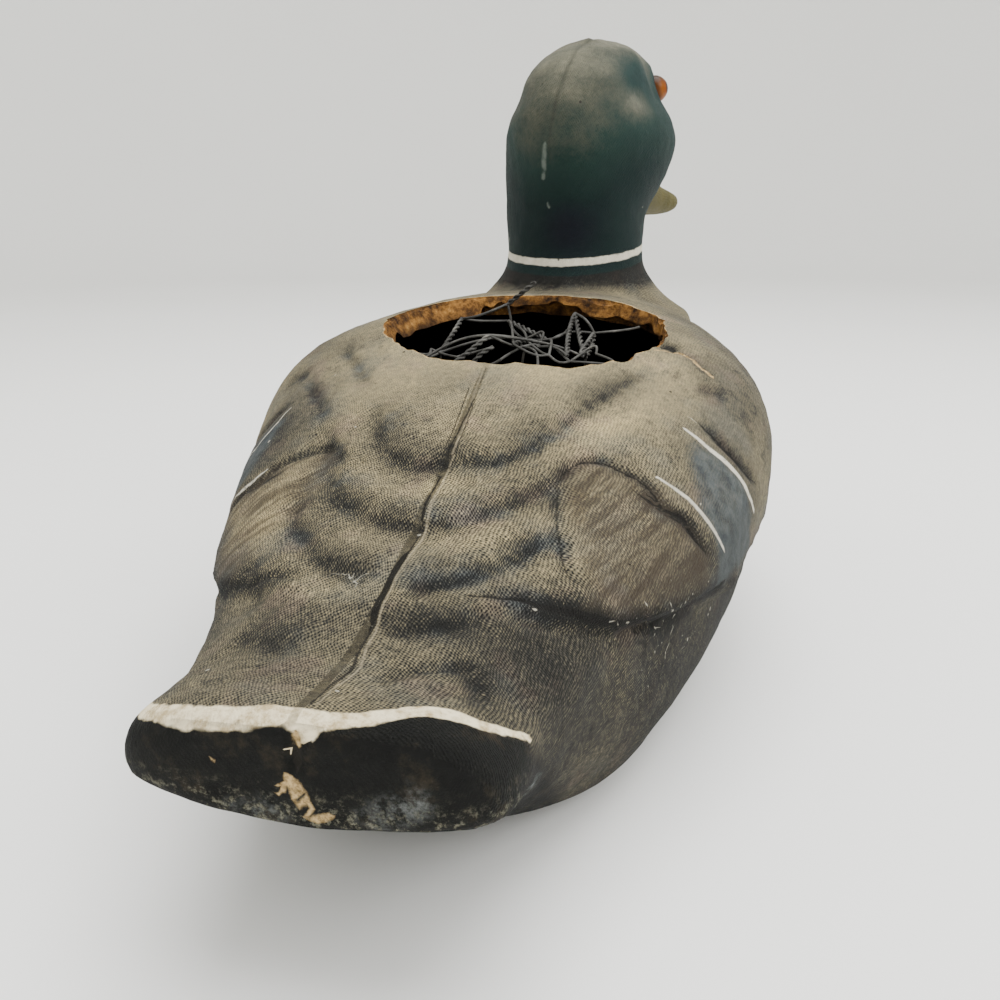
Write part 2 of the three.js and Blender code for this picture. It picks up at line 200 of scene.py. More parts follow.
@dataclass
class BodyForm(Stationed):
    """The smooth form of the body, without its feathers."""

    stations: tuple[BodyStation, ...] = tuple(BodyStation(*row) for row in (
        (163.5, 2, 46, 44, 42, 0, 2.2, 2),
        (163.5, 19, 52, 43, 38, 0, 2.4, 2.1),
        (161.5, 28, 54.5, 42, 36, 0, 2.6, 2.2),
        (158, 31.5, 55, 41, 34.8, 0, 2.7, 2.2),
        (153, 33, 54.5, 40.5, 32.2, 0, 2.7, 2.1),
        (141, 33.5, 54, 41, 23.5, 6, 2.6, 2.1),
        (116, 41.5, 60.5, 41.5, 9, 17, 2.35, 2.1),
        (85, 55, 70.5, 44.5, 0, 26, 2.25, 2.2),
        (47, 66.3, 85.5, 51, 0, 34, 2.4, 2.2),
        (14, 72, 97.5, 57, 0, 34, 2.65, 2.15),
        (-23, 70, 99.5, 57, 0, 36, 2.4, 2.1),
        (-63, 63, 98, 55, 0, 36, 2.25, 2),
        (-99, 54, 93, 54, 2, 28, 2.1, 2),
        (-130, 42, 84, 52, 8, 16, 2.1, 2),
        (-153, 24, 71, 48, 20, 4, 2.2, 2),
        (-163.5, 2, 50, 47, 44, 0, 2.2, 2),
    ))
    upper_share: float = 0.68
    flank_share: float = 0.75
    flattest: float = 0.85
    end_wall: float = 1.4
    overreach: float = 1.2
    table_rows: int = 600
    table_turns: int = 81

    def sizes(self, t: Array, inset: float = 0.0) -> tuple[Array, Array, Array, Array, Array]:
        """The sizes of the sections.

        Args:
            t: places from tail to breast, from 0 to 1.
            inset: thickness of the wall for the hollow, or 0 for the outside.

        Returns:
            The middle height, half width, rise above the middle, drop below it and half width of the flat.
        """
        mid = self.values("mid", t)
        half = inside(self.values("half", t), inset)
        rise = inside(self.values("top", t) - mid, inset)
        drop = inside(mid - self.values("base", t), inset)
        return mid, half, rise, drop, np.minimum(self.values("flat", t), half * self.flattest)

    def section(self, t: Array, q: Array, inset: float = 0.0) -> tuple[Array, Array]:
        """The section's curve.

        Args:
            t: places from tail to breast, from 0 to 1.
            q: turns from the ridge (0) past the widest place (1) to the middle of the belly (2).
            inset: thickness of the wall for the hollow, or 0 for the outside.

        Returns:
            The half width and the height at each place.
        """
        mid, half, rise, drop, flat = self.sizes(t, inset)
        angle = np.minimum(q, 1) * math.pi / 2
        power = 2 / self.values("crown", t)
        upper_x = half * np.sin(angle) ** power
        upper_z = mid + rise * np.cos(angle) ** power
        inward = np.clip((q - 1) / self.flank_share, 0, 1)
        turn = inward * math.pi / 2
        fullness = 2 / self.values("belly", t)
        flank_x = flat + (half - flat) * np.abs(np.cos(turn)) ** fullness
        floor_x = flat * (2 - q) / (1 - self.flank_share)
        lower_x = np.where(inward < 1, flank_x, floor_x)
        lower_z = mid - drop * np.sin(turn) ** fullness
        return np.where(q > 1, lower_x, upper_x), np.where(q > 1, lower_z, upper_z)

    def skin(self, t: Array, turn: Array, inset: float = 0.0) -> Array:
        """Points of the skin, or of the hollow.

        Args:
            t: places from tail to breast, from 0 to 1.
            turn: turns from -1 to 1, 0 being the ridge.
            inset: thickness of the wall for the hollow, or 0 for the outside.

        Returns:
            The points.
        """
        share = np.abs(turn)
        upper = share / self.upper_share
        lower = 1 + (share - self.upper_share) / (1 - self.upper_share)
        x, z = self.section(t, np.where(share <= self.upper_share, upper, lower), inset)
        end = inset * self.end_wall
        y = np.clip(self.values("y", t), self.stations[-1].y + end, self.stations[0].y - end)
        return np.stack([np.sign(turn) * x, y, z], axis=1)

    def along(self, y: Array) -> Array:
        """The places t of sections at y."""
        rows = np.linspace(1, 0, 4001)
        return np.interp(y, self.values("y", rows), rows)

    def height(self, x: Array, y: Array) -> Array:
        """The height of the back.

        Args:
            x: places across, in plan.
            y: places along, in plan.

        Returns:
            The height at each place.
        """
        t = self.along(y)
        crown = self.values("crown", t)
        mid, half, rise, _, _ = self.sizes(t)
        sine = np.clip(np.abs(x) / half, 0, 1) ** (crown / 2)
        return mid + rise * (1 - sine * sine) ** (1 / crown)

    def turns(self, points: Array) -> tuple[Array, Array]:
        """Where points near the skin lie on it.

        Args:
            points: points near the skin.

        Returns:
            Their places t and turns q.
        """
        t = self.along(points[:, 1])
        mid, half, rise, drop, flat = self.sizes(t)
        height = points[:, 2] - mid
        across = np.abs(points[:, 0])
        crown, belly = self.values("crown", t) / 2, self.values("belly", t) / 2
        sine = np.clip(across / half, 0, self.overreach) ** crown
        cosine = np.clip(height / rise, 0, self.overreach) ** crown
        upper = np.arctan2(sine, cosine) / (math.pi / 2)
        out = np.clip((across - flat) / (half - flat), 0, self.overreach) ** belly
        down = np.clip(-height / drop, 0, self.overreach) ** belly
        flank = np.arctan2(down, out) / (math.pi / 2)
        beyond = np.clip(1 - across / np.maximum(flat, 1e-6), 0, 1) * (1 - self.flank_share)
        lower = 1 + self.flank_share * flank + np.where(out == 0, beyond, 0)
        return t, np.where(height >= 0, upper, lower)

    def girth(self, points: Array) -> tuple[Array, Array]:
        """Distances down the skin from the ridge.

        Args:
            points: points near the skin.

        Returns:
            The true distance, and the quick measure by which the wing's lower edge is laid out.
        """
        t, q = self.turns(points)
        rows = np.linspace(0, 1, self.table_rows)
        turns = np.linspace(0, 2, self.table_turns)
        grid_t, grid_q = np.meshgrid(rows, turns, indexing="ij")
        x, z = self.section(grid_t.ravel(), grid_q.ravel())
        x, z = x.reshape(grid_t.shape), z.reshape(grid_t.shape)
        steps = np.hypot(np.diff(x, axis=1), np.diff(z, axis=1))
        lengths = np.concatenate([np.zeros((len(rows), 1)), np.cumsum(steps, axis=1)], axis=1)
        row = np.clip(np.rint(t * (len(rows) - 1)).astype(int), 0, len(rows) - 1)
        place = np.clip(q / 2, 0, 1) * (len(turns) - 1)
        left = np.minimum(place.astype(int), len(turns) - 2)
        share = place - left
        true = lengths[row, left] * (1 - share) + lengths[row, left + 1] * share
        _, half, rise, drop, flat = self.sizes(t)
        inward = np.clip((q - 1) / self.flank_share, 0, 1)
        quick = math.pi / 4 * ((half + rise) * np.minimum(q, 1) + (half - flat + drop) * inward)
        return true, quick


@dataclass
class HeadForm(Stationed):
    """The neck and head, in level slices about an upright axis."""

    x: float = -4.3
    y: float = -71.0
    turn: float = math.radians(12.5)
    stations: tuple[HeadStation, ...] = tuple(HeadStation(*row) for row in (
        (83, -24, 0, 30, 40, 0),
        (88, -38, 0, 40, 41.5, 0),
        (94, -33, 0, 33, 33.5, 0),
        (100, -27.5, 0, 28, 27.5, 0),
        (106, -24, 0, 25, 24, 0),
        (112, -23.3, 0, 24.5, 23.4, 0),
        (121, -24, 0, 26, 23.7, 0),
        (129, -25.5, 3, 32, 25.2, 0.6),
        (137, -27, 7, 40, 27, 1.4),
        (146, -29, 10, 45, 28, 2.2),
        (153, -29, 9, 45, 26.2, 2.5),
        (159, -28, 6, 43, 22.6, 3.1),
        (165, -25, 4, 40.5, 21, 3.6),
        (170.5, -19.5, 4, 35.5, 18.2, 3.8),
        (175, -12, 5, 29.5, 14, 4),
        (178.2, -3, 8, 22, 8.5, 4),
        (180, 7, 9, 11, 1, 4),
    ))

    def place(self, u: Array, v: Array, z: Array) -> Array:
        """Points from the head's own directions.

        Args:
            u: distances forward of its axis.
            v: distances to its right.
            z: heights.

        Returns:
            The points.
        """
        x = self.x - u * math.sin(self.turn) - v * math.cos(self.turn)
        y = self.y - u * math.cos(self.turn) + v * math.sin(self.turn)
        return np.stack(np.broadcast_arrays(x, y, z), axis=-1).astype(float)

    def own(self, points: Array) -> tuple[Array, Array, Array]:
        """Where points lie in the head's own directions.

        Args:
            points: the points.

        Returns:
            Their distances forward and to the right of its axis, and their heights.
        """
        dx, dy = points[:, 0] - self.x, points[:, 1] - self.y
        forward = -dx * math.sin(self.turn) - dy * math.cos(self.turn)
        right = -dx * math.cos(self.turn) + dy * math.sin(self.turn)
        return forward, right, points[:, 2]

    def skin(self, t: Array, turn: Array, inset: float = 0.0) -> Array:
        """Points of the skin, or of the throat.

        Args:
            t: places upwards, from 0 to 1.
            turn: turns from -1 to 1 round the axis, 0 being ahead.
            inset: thickness of the wall for the throat, or 0 for the outside.

        Returns:
            The points.
        """
        widest = self.values("widest", t)
        along = np.cos(turn * math.pi)
        ahead, behind = self.values("front", t) - widest, widest - self.values("back", t)
        u = widest + inside(np.where(along > 0, ahead, behind), inset) * along
        v = inside(self.values("half", t), inset) * np.sin(turn * math.pi) + self.values("lean", t)
        return self.place(u, v, np.minimum(self.values("z", t), self.stations[-1].z - inset))


@dataclass
class BillForm(Stationed):
    """The bill, in upright slices along the head's forward line."""

    head: HeadForm
    lean: float = 0.4
    corner: float = 0.8
    stations: tuple[BillStation, ...] = tuple(BillStation(*row) for row in (
        (28, 13, 142, 124),
        (44, 13, 142, 122.5),
        (54, 12.4, 137.5, 122),
        (65, 13.2, 134.5, 121.8),
        (75, 14.2, 132.5, 122),
        (82.5, 13, 131, 122.6),
        (87, 9, 129.8, 123.6),
        (88.6, 2, 127.6, 125.6),
    ))

    def square(self, wave: Array) -> Array:
        """A sine or cosine filled out towards a rounded square."""
        return np.sign(wave) * np.abs(wave) ** self.corner

    def skin(self, t: Array, turn: Array, inset: float = 0.0) -> Array:
        """Points of the skin.

        Args:
            t: places forwards, from 0 to 1.
            turn: turns from -1 to 1 round the bill, 0 being its top.
            inset: how much narrower it is made; the bill has no hollow, so it stays 0.

        Returns:
            The points.
        """
        top, base = self.values("top", t), self.values("base", t)
        v = (self.values("half", t) - inset) * self.square(np.sin(turn * math.pi)) + self.lean
        z = (top + base) / 2 + (top - base) / 2 * self.square(np.cos(turn * math.pi))
        return self.head.place(self.values("u", t), v, z)


@dataclass(frozen=True)
class Route:
    """A smooth line on the skin through a few points, in millimetres."""

    points: tuple[Point, ...]

    def mirrored(self) -> "Route":
        """The same line on the other side of the duck, still running the same way round."""
        return Route(tuple((-x, y, z) for x, y, z in self.points))

    def fine(self, step: float = 0.6) -> tuple[Array, Array]:
        """Follows the line closely.

        Args:
            step: the distance between the points given back.

        Returns:
            Points on the line, and the way it runs at each of them.
        """
        knots = np.array(self.points, float)
        if len(knots) == 1:
            return knots, np.array([[0.0, 0.0, 1.0]])
        gaps = np.linalg.norm(np.diff(knots, axis=0), axis=1)
        t = np.concatenate([[0], np.cumsum(gaps)])
        tangents = np.gradient(knots, t, axis=0)
        s = np.linspace(0, t[-1], max(3, int(t[-1] / step)))
        i = np.clip(np.searchsorted(t, s, side="right") - 1, 0, len(gaps) - 1)
        width = gaps[i][:, None]
        h = (s[:, None] - t[i][:, None]) / width
        line = knots[i] * (1 + 2 * h) * (1 - h) ** 2 + tangents[i] * width * h * (1 - h) ** 2
        line += knots[i + 1] * h * h * (3 - 2 * h) + tangents[i + 1] * width * h * h * (h - 1)
        way = np.gradient(line, axis=0)
        return line, way / np.linalg.norm(way, axis=1)[:, None]


@dataclass
class Skin:
    """The points and outward directions of a mesh, in millimetres, with distances to lines on it."""

    points: Array
    normals: Array
    near: float = 16.0
    slack: float = 1.5

    def measure(self, route: Route) -> tuple[Array, Array, Array]:
        """Distances from the points to a route.

        Args:
            route: the line.

        Returns:
            The distance, signed positive to the right of the way the line runs as seen from outside, how
            far along the line the nearest place is, from 0 to 1, and how far the point is past an end.
        """
        line, way = route.fine()
        low, high = line.min(axis=0) - self.near, line.max(axis=0) + self.near
        close = np.flatnonzero(((self.points > low) & (self.points < high)).all(axis=1))
        signed = np.full(len(self.points), 1e3)
        share = np.zeros(len(self.points))
        past = np.zeros(len(self.points))
        for part in np.array_split(close, max(1, len(close) // 20000)):
            away = self.points[part][:, None, :] - line[None, :, :]
            gaps = np.einsum("ijk,ijk->ij", away, away)
            best = gaps.argmin(axis=1)
            nearest = away[np.arange(len(part)), best]
            right = np.einsum("ij,ij->i", np.cross(nearest, way[best]), self.normals[part])
            outward = np.abs(np.einsum("ij,ij->i", nearest, self.normals[part]))
            level = np.maximum(gaps.min(axis=1) - np.minimum(outward, self.slack) ** 2, 0)
            signed[part] = np.sqrt(level) * np.where(right >= 0, 1, -1)
            share[part] = best / max(1, len(line) - 1)
            ahead = np.einsum("ij,ij->i", nearest, way[best])
            beyond = np.where(best == len(line) - 1, ahead, np.where(best == 0, -ahead, 0))
            past[part] = np.maximum(beyond, 0)
        return signed, share, past


@dataclass(frozen=True)
class Overlap:
    """A row of feathers: swollen on its left, stepping down on its right, with grime and painted shade
    along the step and a painted highlight with wear on the next crest.
    """

    route: Route
    depth: float = 1.8
    lift: float = 0.8
    soot: float = 0.8
    spread: float = 6.0
    fade: float = 0.16
    step: tuple[float, float] = (-2.6, 2.2)
    ridge: tuple[float, float] = (-5.5, 4.2)
    reach: float = 1.4

    def apply(self, skin: Skin) -> tuple[Array, Array]:
        """What the feature does to the skin.

        Args:
            skin: the skin that it lies on.

        Returns:
            How far it moves each point outwards, and how much grime and painted shade it lays on it, less
            the painted highlight and wear on the next crest.
        """
        signed, share, _ = skin.measure(self.route)
        ends = tapered(share, self.fade)
        drop = smoothstep(signed, *self.step) * np.exp(-np.maximum(signed, 0) / (self.reach * self.spread))
        ridge = bell(signed - self.ridge[0], self.ridge[1])
        # grime and painted shade along the step
        step_grime_and_shade = 0.6 * bell(signed - 0.4, 0.3 * self.spread) + 0.5 * bell(signed + 1.5, self.spread)
        # painted highlight and wear on the crest of the next row
        light = 0.3 * bell(signed - 1.6 * self.spread, 4.0)
        return ends * (self.lift * ridge - self.depth * drop), ends * self.soot * (step_grime_and_shade - light)


@dataclass(frozen=True)
class Crease:
    """A fold pressed into the skin."""

    route: Route
    depth: float = 1.0
    width: float = 1.6
    soot: float = 0.8
    spread: float = 2.4
    fade: float = 0.2

    def apply(self, skin: Skin) -> tuple[Array, Array]:
        """What the feature does to the skin.

        Args:
            skin: the skin that it lies on.

        Returns:
            How far it moves each point outwards, and how much grime and painted shade it lays in the fold.
        """
        signed, share, _ = skin.measure(self.route)
        ends = tapered(share, self.fade)
        # grime and painted shade darken the fold
        return -ends * self.depth * bell(signed, self.width), ends * self.soot * bell(signed, self.spread)


@dataclass(frozen=True)
class Stroke:
    """A mark of paint or wear: a line with a radius at each end and in its middle."""

    route: Route
    start: float
    middle: float
    end: float
    taper: float = 0.35
    rounding: float = 1.5

    def strip(self, skin: Skin) -> tuple[Array, Array]:
        """Sets the mark out as a strip along its line.

        Args:
            skin: the skin that it lies on.

        Returns:
            The sideways distance of each point from the line, and the mark's half width there.
        """
        signed, share, past = skin.measure(self.route)
        early = self.start + (self.middle - self.start) * smoothstep(share, 0, self.taper)
        late = self.end + (self.middle - self.end) * smoothstep(1 - share, 0, self.taper)
        sideways = np.sqrt(np.maximum(signed * signed - past * past, 0)) * np.sign(signed)
        half = np.where(share < 0.5, early, late) - self.rounding * past
        far = np.abs(signed) > FAR
        return np.where(far, FAR, sideways), np.where(far, -FAR, half)

    def cover(self, skin: Skin) -> Array:
        """How far inside the mark's edge each point is, in millimetres, negative outside."""
        sideways, half = self.strip(skin)
        return half - np.abs(sideways)


Strokes = tuple[Stroke, ...]


def cover_all(strokes: Strokes, skin: Skin) -> Array:
    """The cover of several wide marks together."""
    return np.clip(np.max([stroke.cover(skin) for stroke in strokes], axis=0), -FAR, FAR)


def strips(name: str, strokes: Strokes, skin: Skin) -> dict[str, Array]:
    """The layers that draw several narrow marks sharply, wherever the mesh's points are.

    Args:
        name: what the layers' names start with.
        strokes: the marks.
        skin: the skin that they lie on.

    Returns:
        The sideways distances and the half widths of the nearest mark, by layer name.
    """
    offsets, halves = zip(*(stroke.strip(skin) for stroke in strokes))
    best = np.argmax(np.array(halves) - np.abs(offsets), axis=0)
    every = np.arange(len(best))
    return {f"{name}_off": np.array(offsets)[best, every], f"{name}_half": np.array(halves)[best, every]}


ROW_ONE = Route((
    (24, 54, 81), (20, 66, 76), (16, 74, 73), (11, 79, 72), (6, 81, 71), (-2, 79, 72), (-7, 78, 72),
    (-12, 76, 72), (-19, 68, 75), (-25, 57, 79), (-32, 46, 83), (-42, 31, 87),
))
ROW_TWO = Route((
    (34, 59, 77), (31, 69, 73), (28, 78, 69), (23, 88, 67), (18, 94, 65), (12, 98, 65), (6, 101, 64),
    (0, 101, 64), (-7, 99, 65), (-12, 95, 66), (-17, 91, 67), (-22, 84, 69), (-26, 77, 71), (-30, 70, 73),
))
ROW_THREE_LEFT = Route((
    (32, 87, 66), (29, 94, 63), (27, 100, 62), (21, 106, 61), (15, 113, 60), (10, 116, 60), (4, 117, 59),
    (0.5, 118, 59),
))
ROW_THREE_RIGHT = Route((
    (-3, 123, 57), (-6, 120, 58), (-13, 115, 59), (-17, 111, 60), (-20, 107, 60), (-23, 102, 61),
    (-27, 95, 63),
))
ROW_FOUR = Route(((-4, 134, 55), (-6, 131, 55), (-11, 129, 56), (-16, 125, 56), (-20, 121, 56)))
ROW_FOUR_LEFT = Route(((24, 133, 54), (19, 136, 54), (14, 138, 54), (9, 139, 54)))
ARC_LEFT = Route(((33, 108, 58), (29, 115, 57), (26, 120, 55), (24, 126, 54)))
TAIL_LOBE = Route((
    (-7, 149, 54), (-9, 145, 54), (-14, 140, 53), (-19, 138, 53), (-22, 140, 52), (-23, 145, 52),
    (-21, 148, 52),
))
BAR_CREASE = Route(((-51, 45, 76), (-55, 45, 74), (-59, 46, 71), (-64, 44, 65), (-68, 39, 59)))
SHOULDER_CREASE = Route(((-51, 35, 82), (-55, 33, 81), (-59, 31, 78)))
PANEL_TOP = Route((
    (-25, 81, 69), (-26, 77, 71), (-29, 73, 72), (-33, 71, 71), (-38, 72, 70), (-41, 72, 68), (-45, 74, 65),
    (-47, 76, 64), (-52, 75, 61), (-54, 76, 58), (-56, 76, 55), (-57, 76, 53),
))
PANEL_INNER = Route(((-40, 76, 67), (-44, 77, 65), (-48, 77, 62), (-52, 76, 60), (-53, 77, 57)))
PANEL_SIDE = Route((
    (-25, 81, 69), (-26, 87, 67), (-27, 93, 65), (-30, 103, 60), (-32, 107, 58), (-35, 108, 57),
))
LEFT_ARM = Route((
    (44, 22, 89.5), (42.8, 28.5, 88.3), (35.4, 39.8, 84.8), (30.8, 46.3, 82.4), (28, 52, 80.5),
))
LEFT_ARM_OUTER = Route(((51.5, 33, 81), (49.5, 39, 80.2), (43, 49, 78.3), (38, 57, 76), (35.2, 63, 74.2)))
LEFT_ARM_REAR = Route(((34, 79, 68), (30, 92, 64), (30, 96, 62)))
WING_CREASE = Route((
    (-15, 120, 58.5), (-18, 118.5, 58), (-21, 117.5, 58), (-24, 116.5, 57), (-28, 116.5, 56),
    (-33, 115, 55), (-38, 112, 52), (-41, 109, 50), (-45, 103, 48), (-49, 95, 45), (-53, 85, 43),
    (-57, 76, 43), (-61, 65, 44),
))
TAIL_DENT = Route(((-1, 162.5, 53), (-1, 163.5, 50), (-1, 163.5, 47)))
GOUGE = Route(((-41, 23, 91), (-44, 22.5, 91), (-47, 23, 90)))
CRACK = Route(((-40, 27, 90), (-47, 24, 89), (-52, 26, 87), (-56, 28, 84)))

SEAM_RIDGE = Route(((1, 43, 87), (0.8, 50, 84.5), (0.5, 57, 81.5), (0, 72, 75.3), (-0.2, 84, 70)))
SEAM_GROOVE = Route((
    (0, 66, 77), (0, 81, 71), (0, 94, 67), (-1, 105, 62), (0, 115, 60), (0, 119, 58), (0, 125, 57),
    (-1, 132, 55), (-1, 138, 54), (-2, 143, 54), (-1, 151, 54), (-1, 158, 55),
))
HEAD_SEAM = Route((
    (-11, -72, 180), (-9, -66, 178.5), (-7, -60, 176), (-5, -49, 169), (-3, -44, 162), (-2, -43, 157),
    (-1, -42, 152), (0, -42, 146), (0, -44, 138),
))


@dataclass(frozen=True)
class WingEdge:
    """The wing's lower edge, a step along each side laid out as distance along and quick girth."""

    depth: float = 3.8
    wall: float = 3.2
    fade: float = 22.0
    starts: tuple[float, float] = (8, 26)
    shallower: float = 0.45
    left: tuple[float, float] = (10, 30)
    rear: tuple[float, float] = (70, 100)
    route: Table = (
        (122, 0), (119, 16), (115, 26), (107, 41), (91, 56), (57, 82), (14, 97), (-25, 95), (-62, 80),
        (-88, 58),
    )

    def measure(self, y: Array, girth: Array) -> Array:
        """Distances from the edge.

        Args:
            y: places along the body.
            girth: quick distances down the skin from the ridge.

        Returns:
            The distances, positive below the wing and negative on it.
        """
        best = np.full(len(y), 1e3)
        side = np.ones(len(y))
        for (ay, ag), (by, bg) in zip(self.route, self.route[1:]):
            dy, dg = by - ay, bg - ag
            t = np.clip(((y - ay) * dy + (girth - ag) * dg) / (dy * dy + dg * dg), 0, 1)
            off_y, off_g = y - ay - t * dy, girth - ag - t * dg
            distance = np.hypot(off_y, off_g)
            closer = distance < best
            side = np.where(closer, np.where(dg * off_y - dy * off_g >= 0, 1, -1), side)
            best = np.where(closer, distance, best)
        return best * side


@dataclass
class Opening:
    """The uneven oval cut in the back."""

    x: float = -4.0
    y: float = 11.0
    half: float = 38.5
    long: float = 30.5
    fullness: float = 2.4
    low: float = 60.0
    high: float = 112.0
    sides: int = 300
    bands: int = 44
    slope: float = 0.42
    tube_sides: int = 14
    tube: float = 0.2
    bumps: tuple[Point, ...] = ((0.6, 4.5, 0.0), (0.35, 1.8, 5.0))
    waves: tuple[Point, ...] = (
        (3, 1, 0.018), (7, 0, 0.012), (17, 0.5, 0.006), (29, 2, 0.005), (53, 0, 0.003),
    )
    worn_back: Table = (
        (-180, 0.6), (-150, 1.0), (-121, 1.1), (-114, 0.2), (-105, 0.1), (-101, 2.6), (-92, 2.9),
        (-83, 2.4), (-76, 0.5), (-50, 0.2), (-38, 0.5), (-20, 0), (180, 0.6),
    )

    def reach(self, angle: Array) -> Array:
        """How far the edge is from the middle.

        Args:
            angle: the ways looked in.

        Returns:
            The offset of the edge in plan at each angle.
        """
        ragged = sum(share * np.sin(turns * angle + start) for turns, start, share in self.waves)
        c, s = np.cos(angle), np.sin(angle)
        x = self.half * np.sign(c) * np.abs(c) ** (2 / self.fullness)
        y = self.long * np.sign(s) * np.abs(s) ** (2 / self.fullness)
        return np.stack([x, y], axis=-1) * (1 + ragged)[:, None]

    def outline(self, count: int) -> Array:
        """Points of the edge in plan."""
        angle = np.linspace(0, 2 * math.pi, count, endpoint=False)
        return self.reach(angle) + np.array([self.x, self.y])

    def fray(self, body: BodyForm, drop: float, outset: float, least: float, rough: float) -> Piece:
        """A ragged ring that eats into an edge of the cut.

        Args:
            body: the form the opening is cut in.
            drop: how far the ring lies under the skin.
            outset: how far it lies outside the opening's outline.
            least: its smallest radius.
            rough: how much thicker its lumps are.

        Returns:
            The ring.
        """
        deselect()
        bpy.ops.mesh.primitive_torus_add(
            major_segments=self.sides, minor_segments=self.tube_sides, major_radius=1,
            minor_radius=self.tube, location=(0, 0, 0),
        )
        ring = bpy.context.object
        points = read_points(ring) * MM
        angle = np.arctan2(points[:, 1], points[:, 0])
        away = np.hypot(points[:, 0], points[:, 1]) - 1
        plan = self.reach(angle)
        out = plan / np.linalg.norm(plan, axis=1)[:, None]
        middle = plan + out * outset + np.array([self.x, self.y])
        level = body.height(middle[:, 0], middle[:, 1]) - drop
        spot = np.column_stack([middle, level])
        lumps = np.maximum(clouds(spot, 9, drop), -0.1) + 0.45 * clouds(spot, 3.2, drop + 3)
        deep = min(1, drop / 5)
        swell = read_table(self.worn_back, np.degrees(angle)) * deep
        whole = 1 - 0.75 * bell((angle + 0.2) / 0.9, 1) * deep
        size = least + rough * np.maximum(lumps, 0) * (1 - 0.6 * np.minimum(swell, 1)) * whole + swell
        flat = size * away / self.tube
        tall = size * points[:, 2] / self.tube
        write_points(ring, np.column_stack([middle + out * flat[:, None], level + tall]))
        return ring

    def cutter(self, body: BodyForm) -> Piece:
        """The prism that cuts the opening, with rough sides leaning in under the skin.

        Args:
            body: the form the opening is cut in.

        Returns:
            The prism.
        """
        depth = (self.high - self.low) / self.bands
        bpy.ops.mesh.primitive_cylinder_add(
            vertices=self.sides, radius=MM, depth=depth * MM, location=(0, 0, 0), end_fill_type="NGON"
        )
        prism = bpy.context.object
        bpy.ops.object.mode_set(mode="EDIT")
        bpy.ops.mesh.select_mode(type="FACE")
        for _ in range(self.bands - 1):
            select_faces(prism, lambda face: face.normal.z > 0.5)
            bpy.ops.mesh.extrude_region_move(TRANSFORM_OT_translate={"value": (0, 0, depth * MM)})
        bpy.ops.object.mode_set(mode="OBJECT")
        points = read_points(prism)
        angle = np.arctan2(points[:, 1], points[:, 0])
        level = np.rint((points[:, 2] - points[:, 2].min()) / depth)
        plan = self.reach(angle)
        out = plan / np.linalg.norm(plan, axis=1)[:, None]
        height = self.low + level * depth
        rough = np.column_stack([plan, height])
        bumps = layered(rough, self.bumps)
        under = np.clip(body.height(plan[:, 0] + self.x, plan[:, 1] + self.y) - height, -1, 7)
        lean = self.slope * (0.25 + smoothstep(plan[:, 0], 5, 30) + 0.35 * smoothstep(-plan[:, 1], 5, 25))
        plan = plan + out * (bumps - lean * under)[:, None]
        write_points(prism, np.column_stack([plan[:, 0] + self.x, plan[:, 1] + self.y, height]))
        return prism


def select_faces(piece: Piece, wanted: Any) -> None:
    """Selects, in edit mode, only the faces of a piece that a test accepts.

    Args:
        piece: the piece.
        wanted: the test.
    """
    bpy.ops.mesh.select_all(action="DESELECT")
    bpy.ops.object.mode_set(mode="OBJECT")
    for face in piece.data.polygons:
        face.select = bool(wanted(face))
    bpy.ops.object.mode_set(mode="EDIT")


def read_vectors(items: Any, name: str) -> Array:
    """Reads a vector of every item in one of a mesh's lists.

    Args:
        items: the list.
        name: the vector's name in an item.

    Returns:
        One row for each item.
    """
    flat = np.empty(3 * len(items), np.float32)
    items.foreach_get(name, flat)
    return flat.reshape(-1, 3).astype(float)


def read_points(piece: Piece) -> Array:
    """The vertices of a piece, in millimetres."""
    return read_vectors(piece.data.vertices, "co") / MM


def read_normals(piece: Piece) -> Array:
    """The outward direction at each vertex of a piece."""
    return read_vectors(piece.data.vertex_normals, "vector")


def write_points(piece: Piece, points: Array) -> None:
    """Moves the vertices of a piece to points in millimetres."""
    piece.data.vertices.foreach_set("co", (points * MM).astype(np.float32).ravel())
    piece.data.update()


def deselect() -> None:
    """Selects nothing."""
    if bpy.context.object and bpy.context.object.mode != "OBJECT":
        bpy.ops.object.mode_set(mode="OBJECT")
    bpy.ops.object.select_all(action="DESELECT")


def make_active(piece: Piece) -> None:
    """Selects one piece alone and makes it the active one.

    Args:
        piece: the piece.
    """
    deselect()
    piece.select_set(True)
    bpy.context.view_layer.objects.active = piece


def finish_modifier(piece: Piece, kind: str, **settings: Any) -> None:
    """Adds a modifier to a piece and applies it.

    Args:
        piece: the piece.
        kind: the modifier's type.
        settings: its properties.
    """
    make_active(piece)
    modifier = piece.modifiers.new(kind.lower(), kind)
    for name, value in settings.items():
        setattr(modifier, name, value)
    bpy.ops.object.modifier_apply(modifier=modifier.name)


def ball(radius: float, place: Sequence[float] = (0, 0, 0)) -> Piece:
    """A fine ball.

    Args:
        radius: its radius, in millimetres.
        place: its middle, which goes into its mesh.

    Returns:
        The ball, its object at the origin.
    """
    deselect()
    bpy.ops.mesh.primitive_uv_sphere_add(
        segments=48, ring_count=32, radius=radius * MM, location=tuple(np.asarray(place) * MM)
    )
    made = bpy.context.object
    make_active(made)
    bpy.ops.object.transform_apply(location=True, rotation=True, scale=True)
    return made


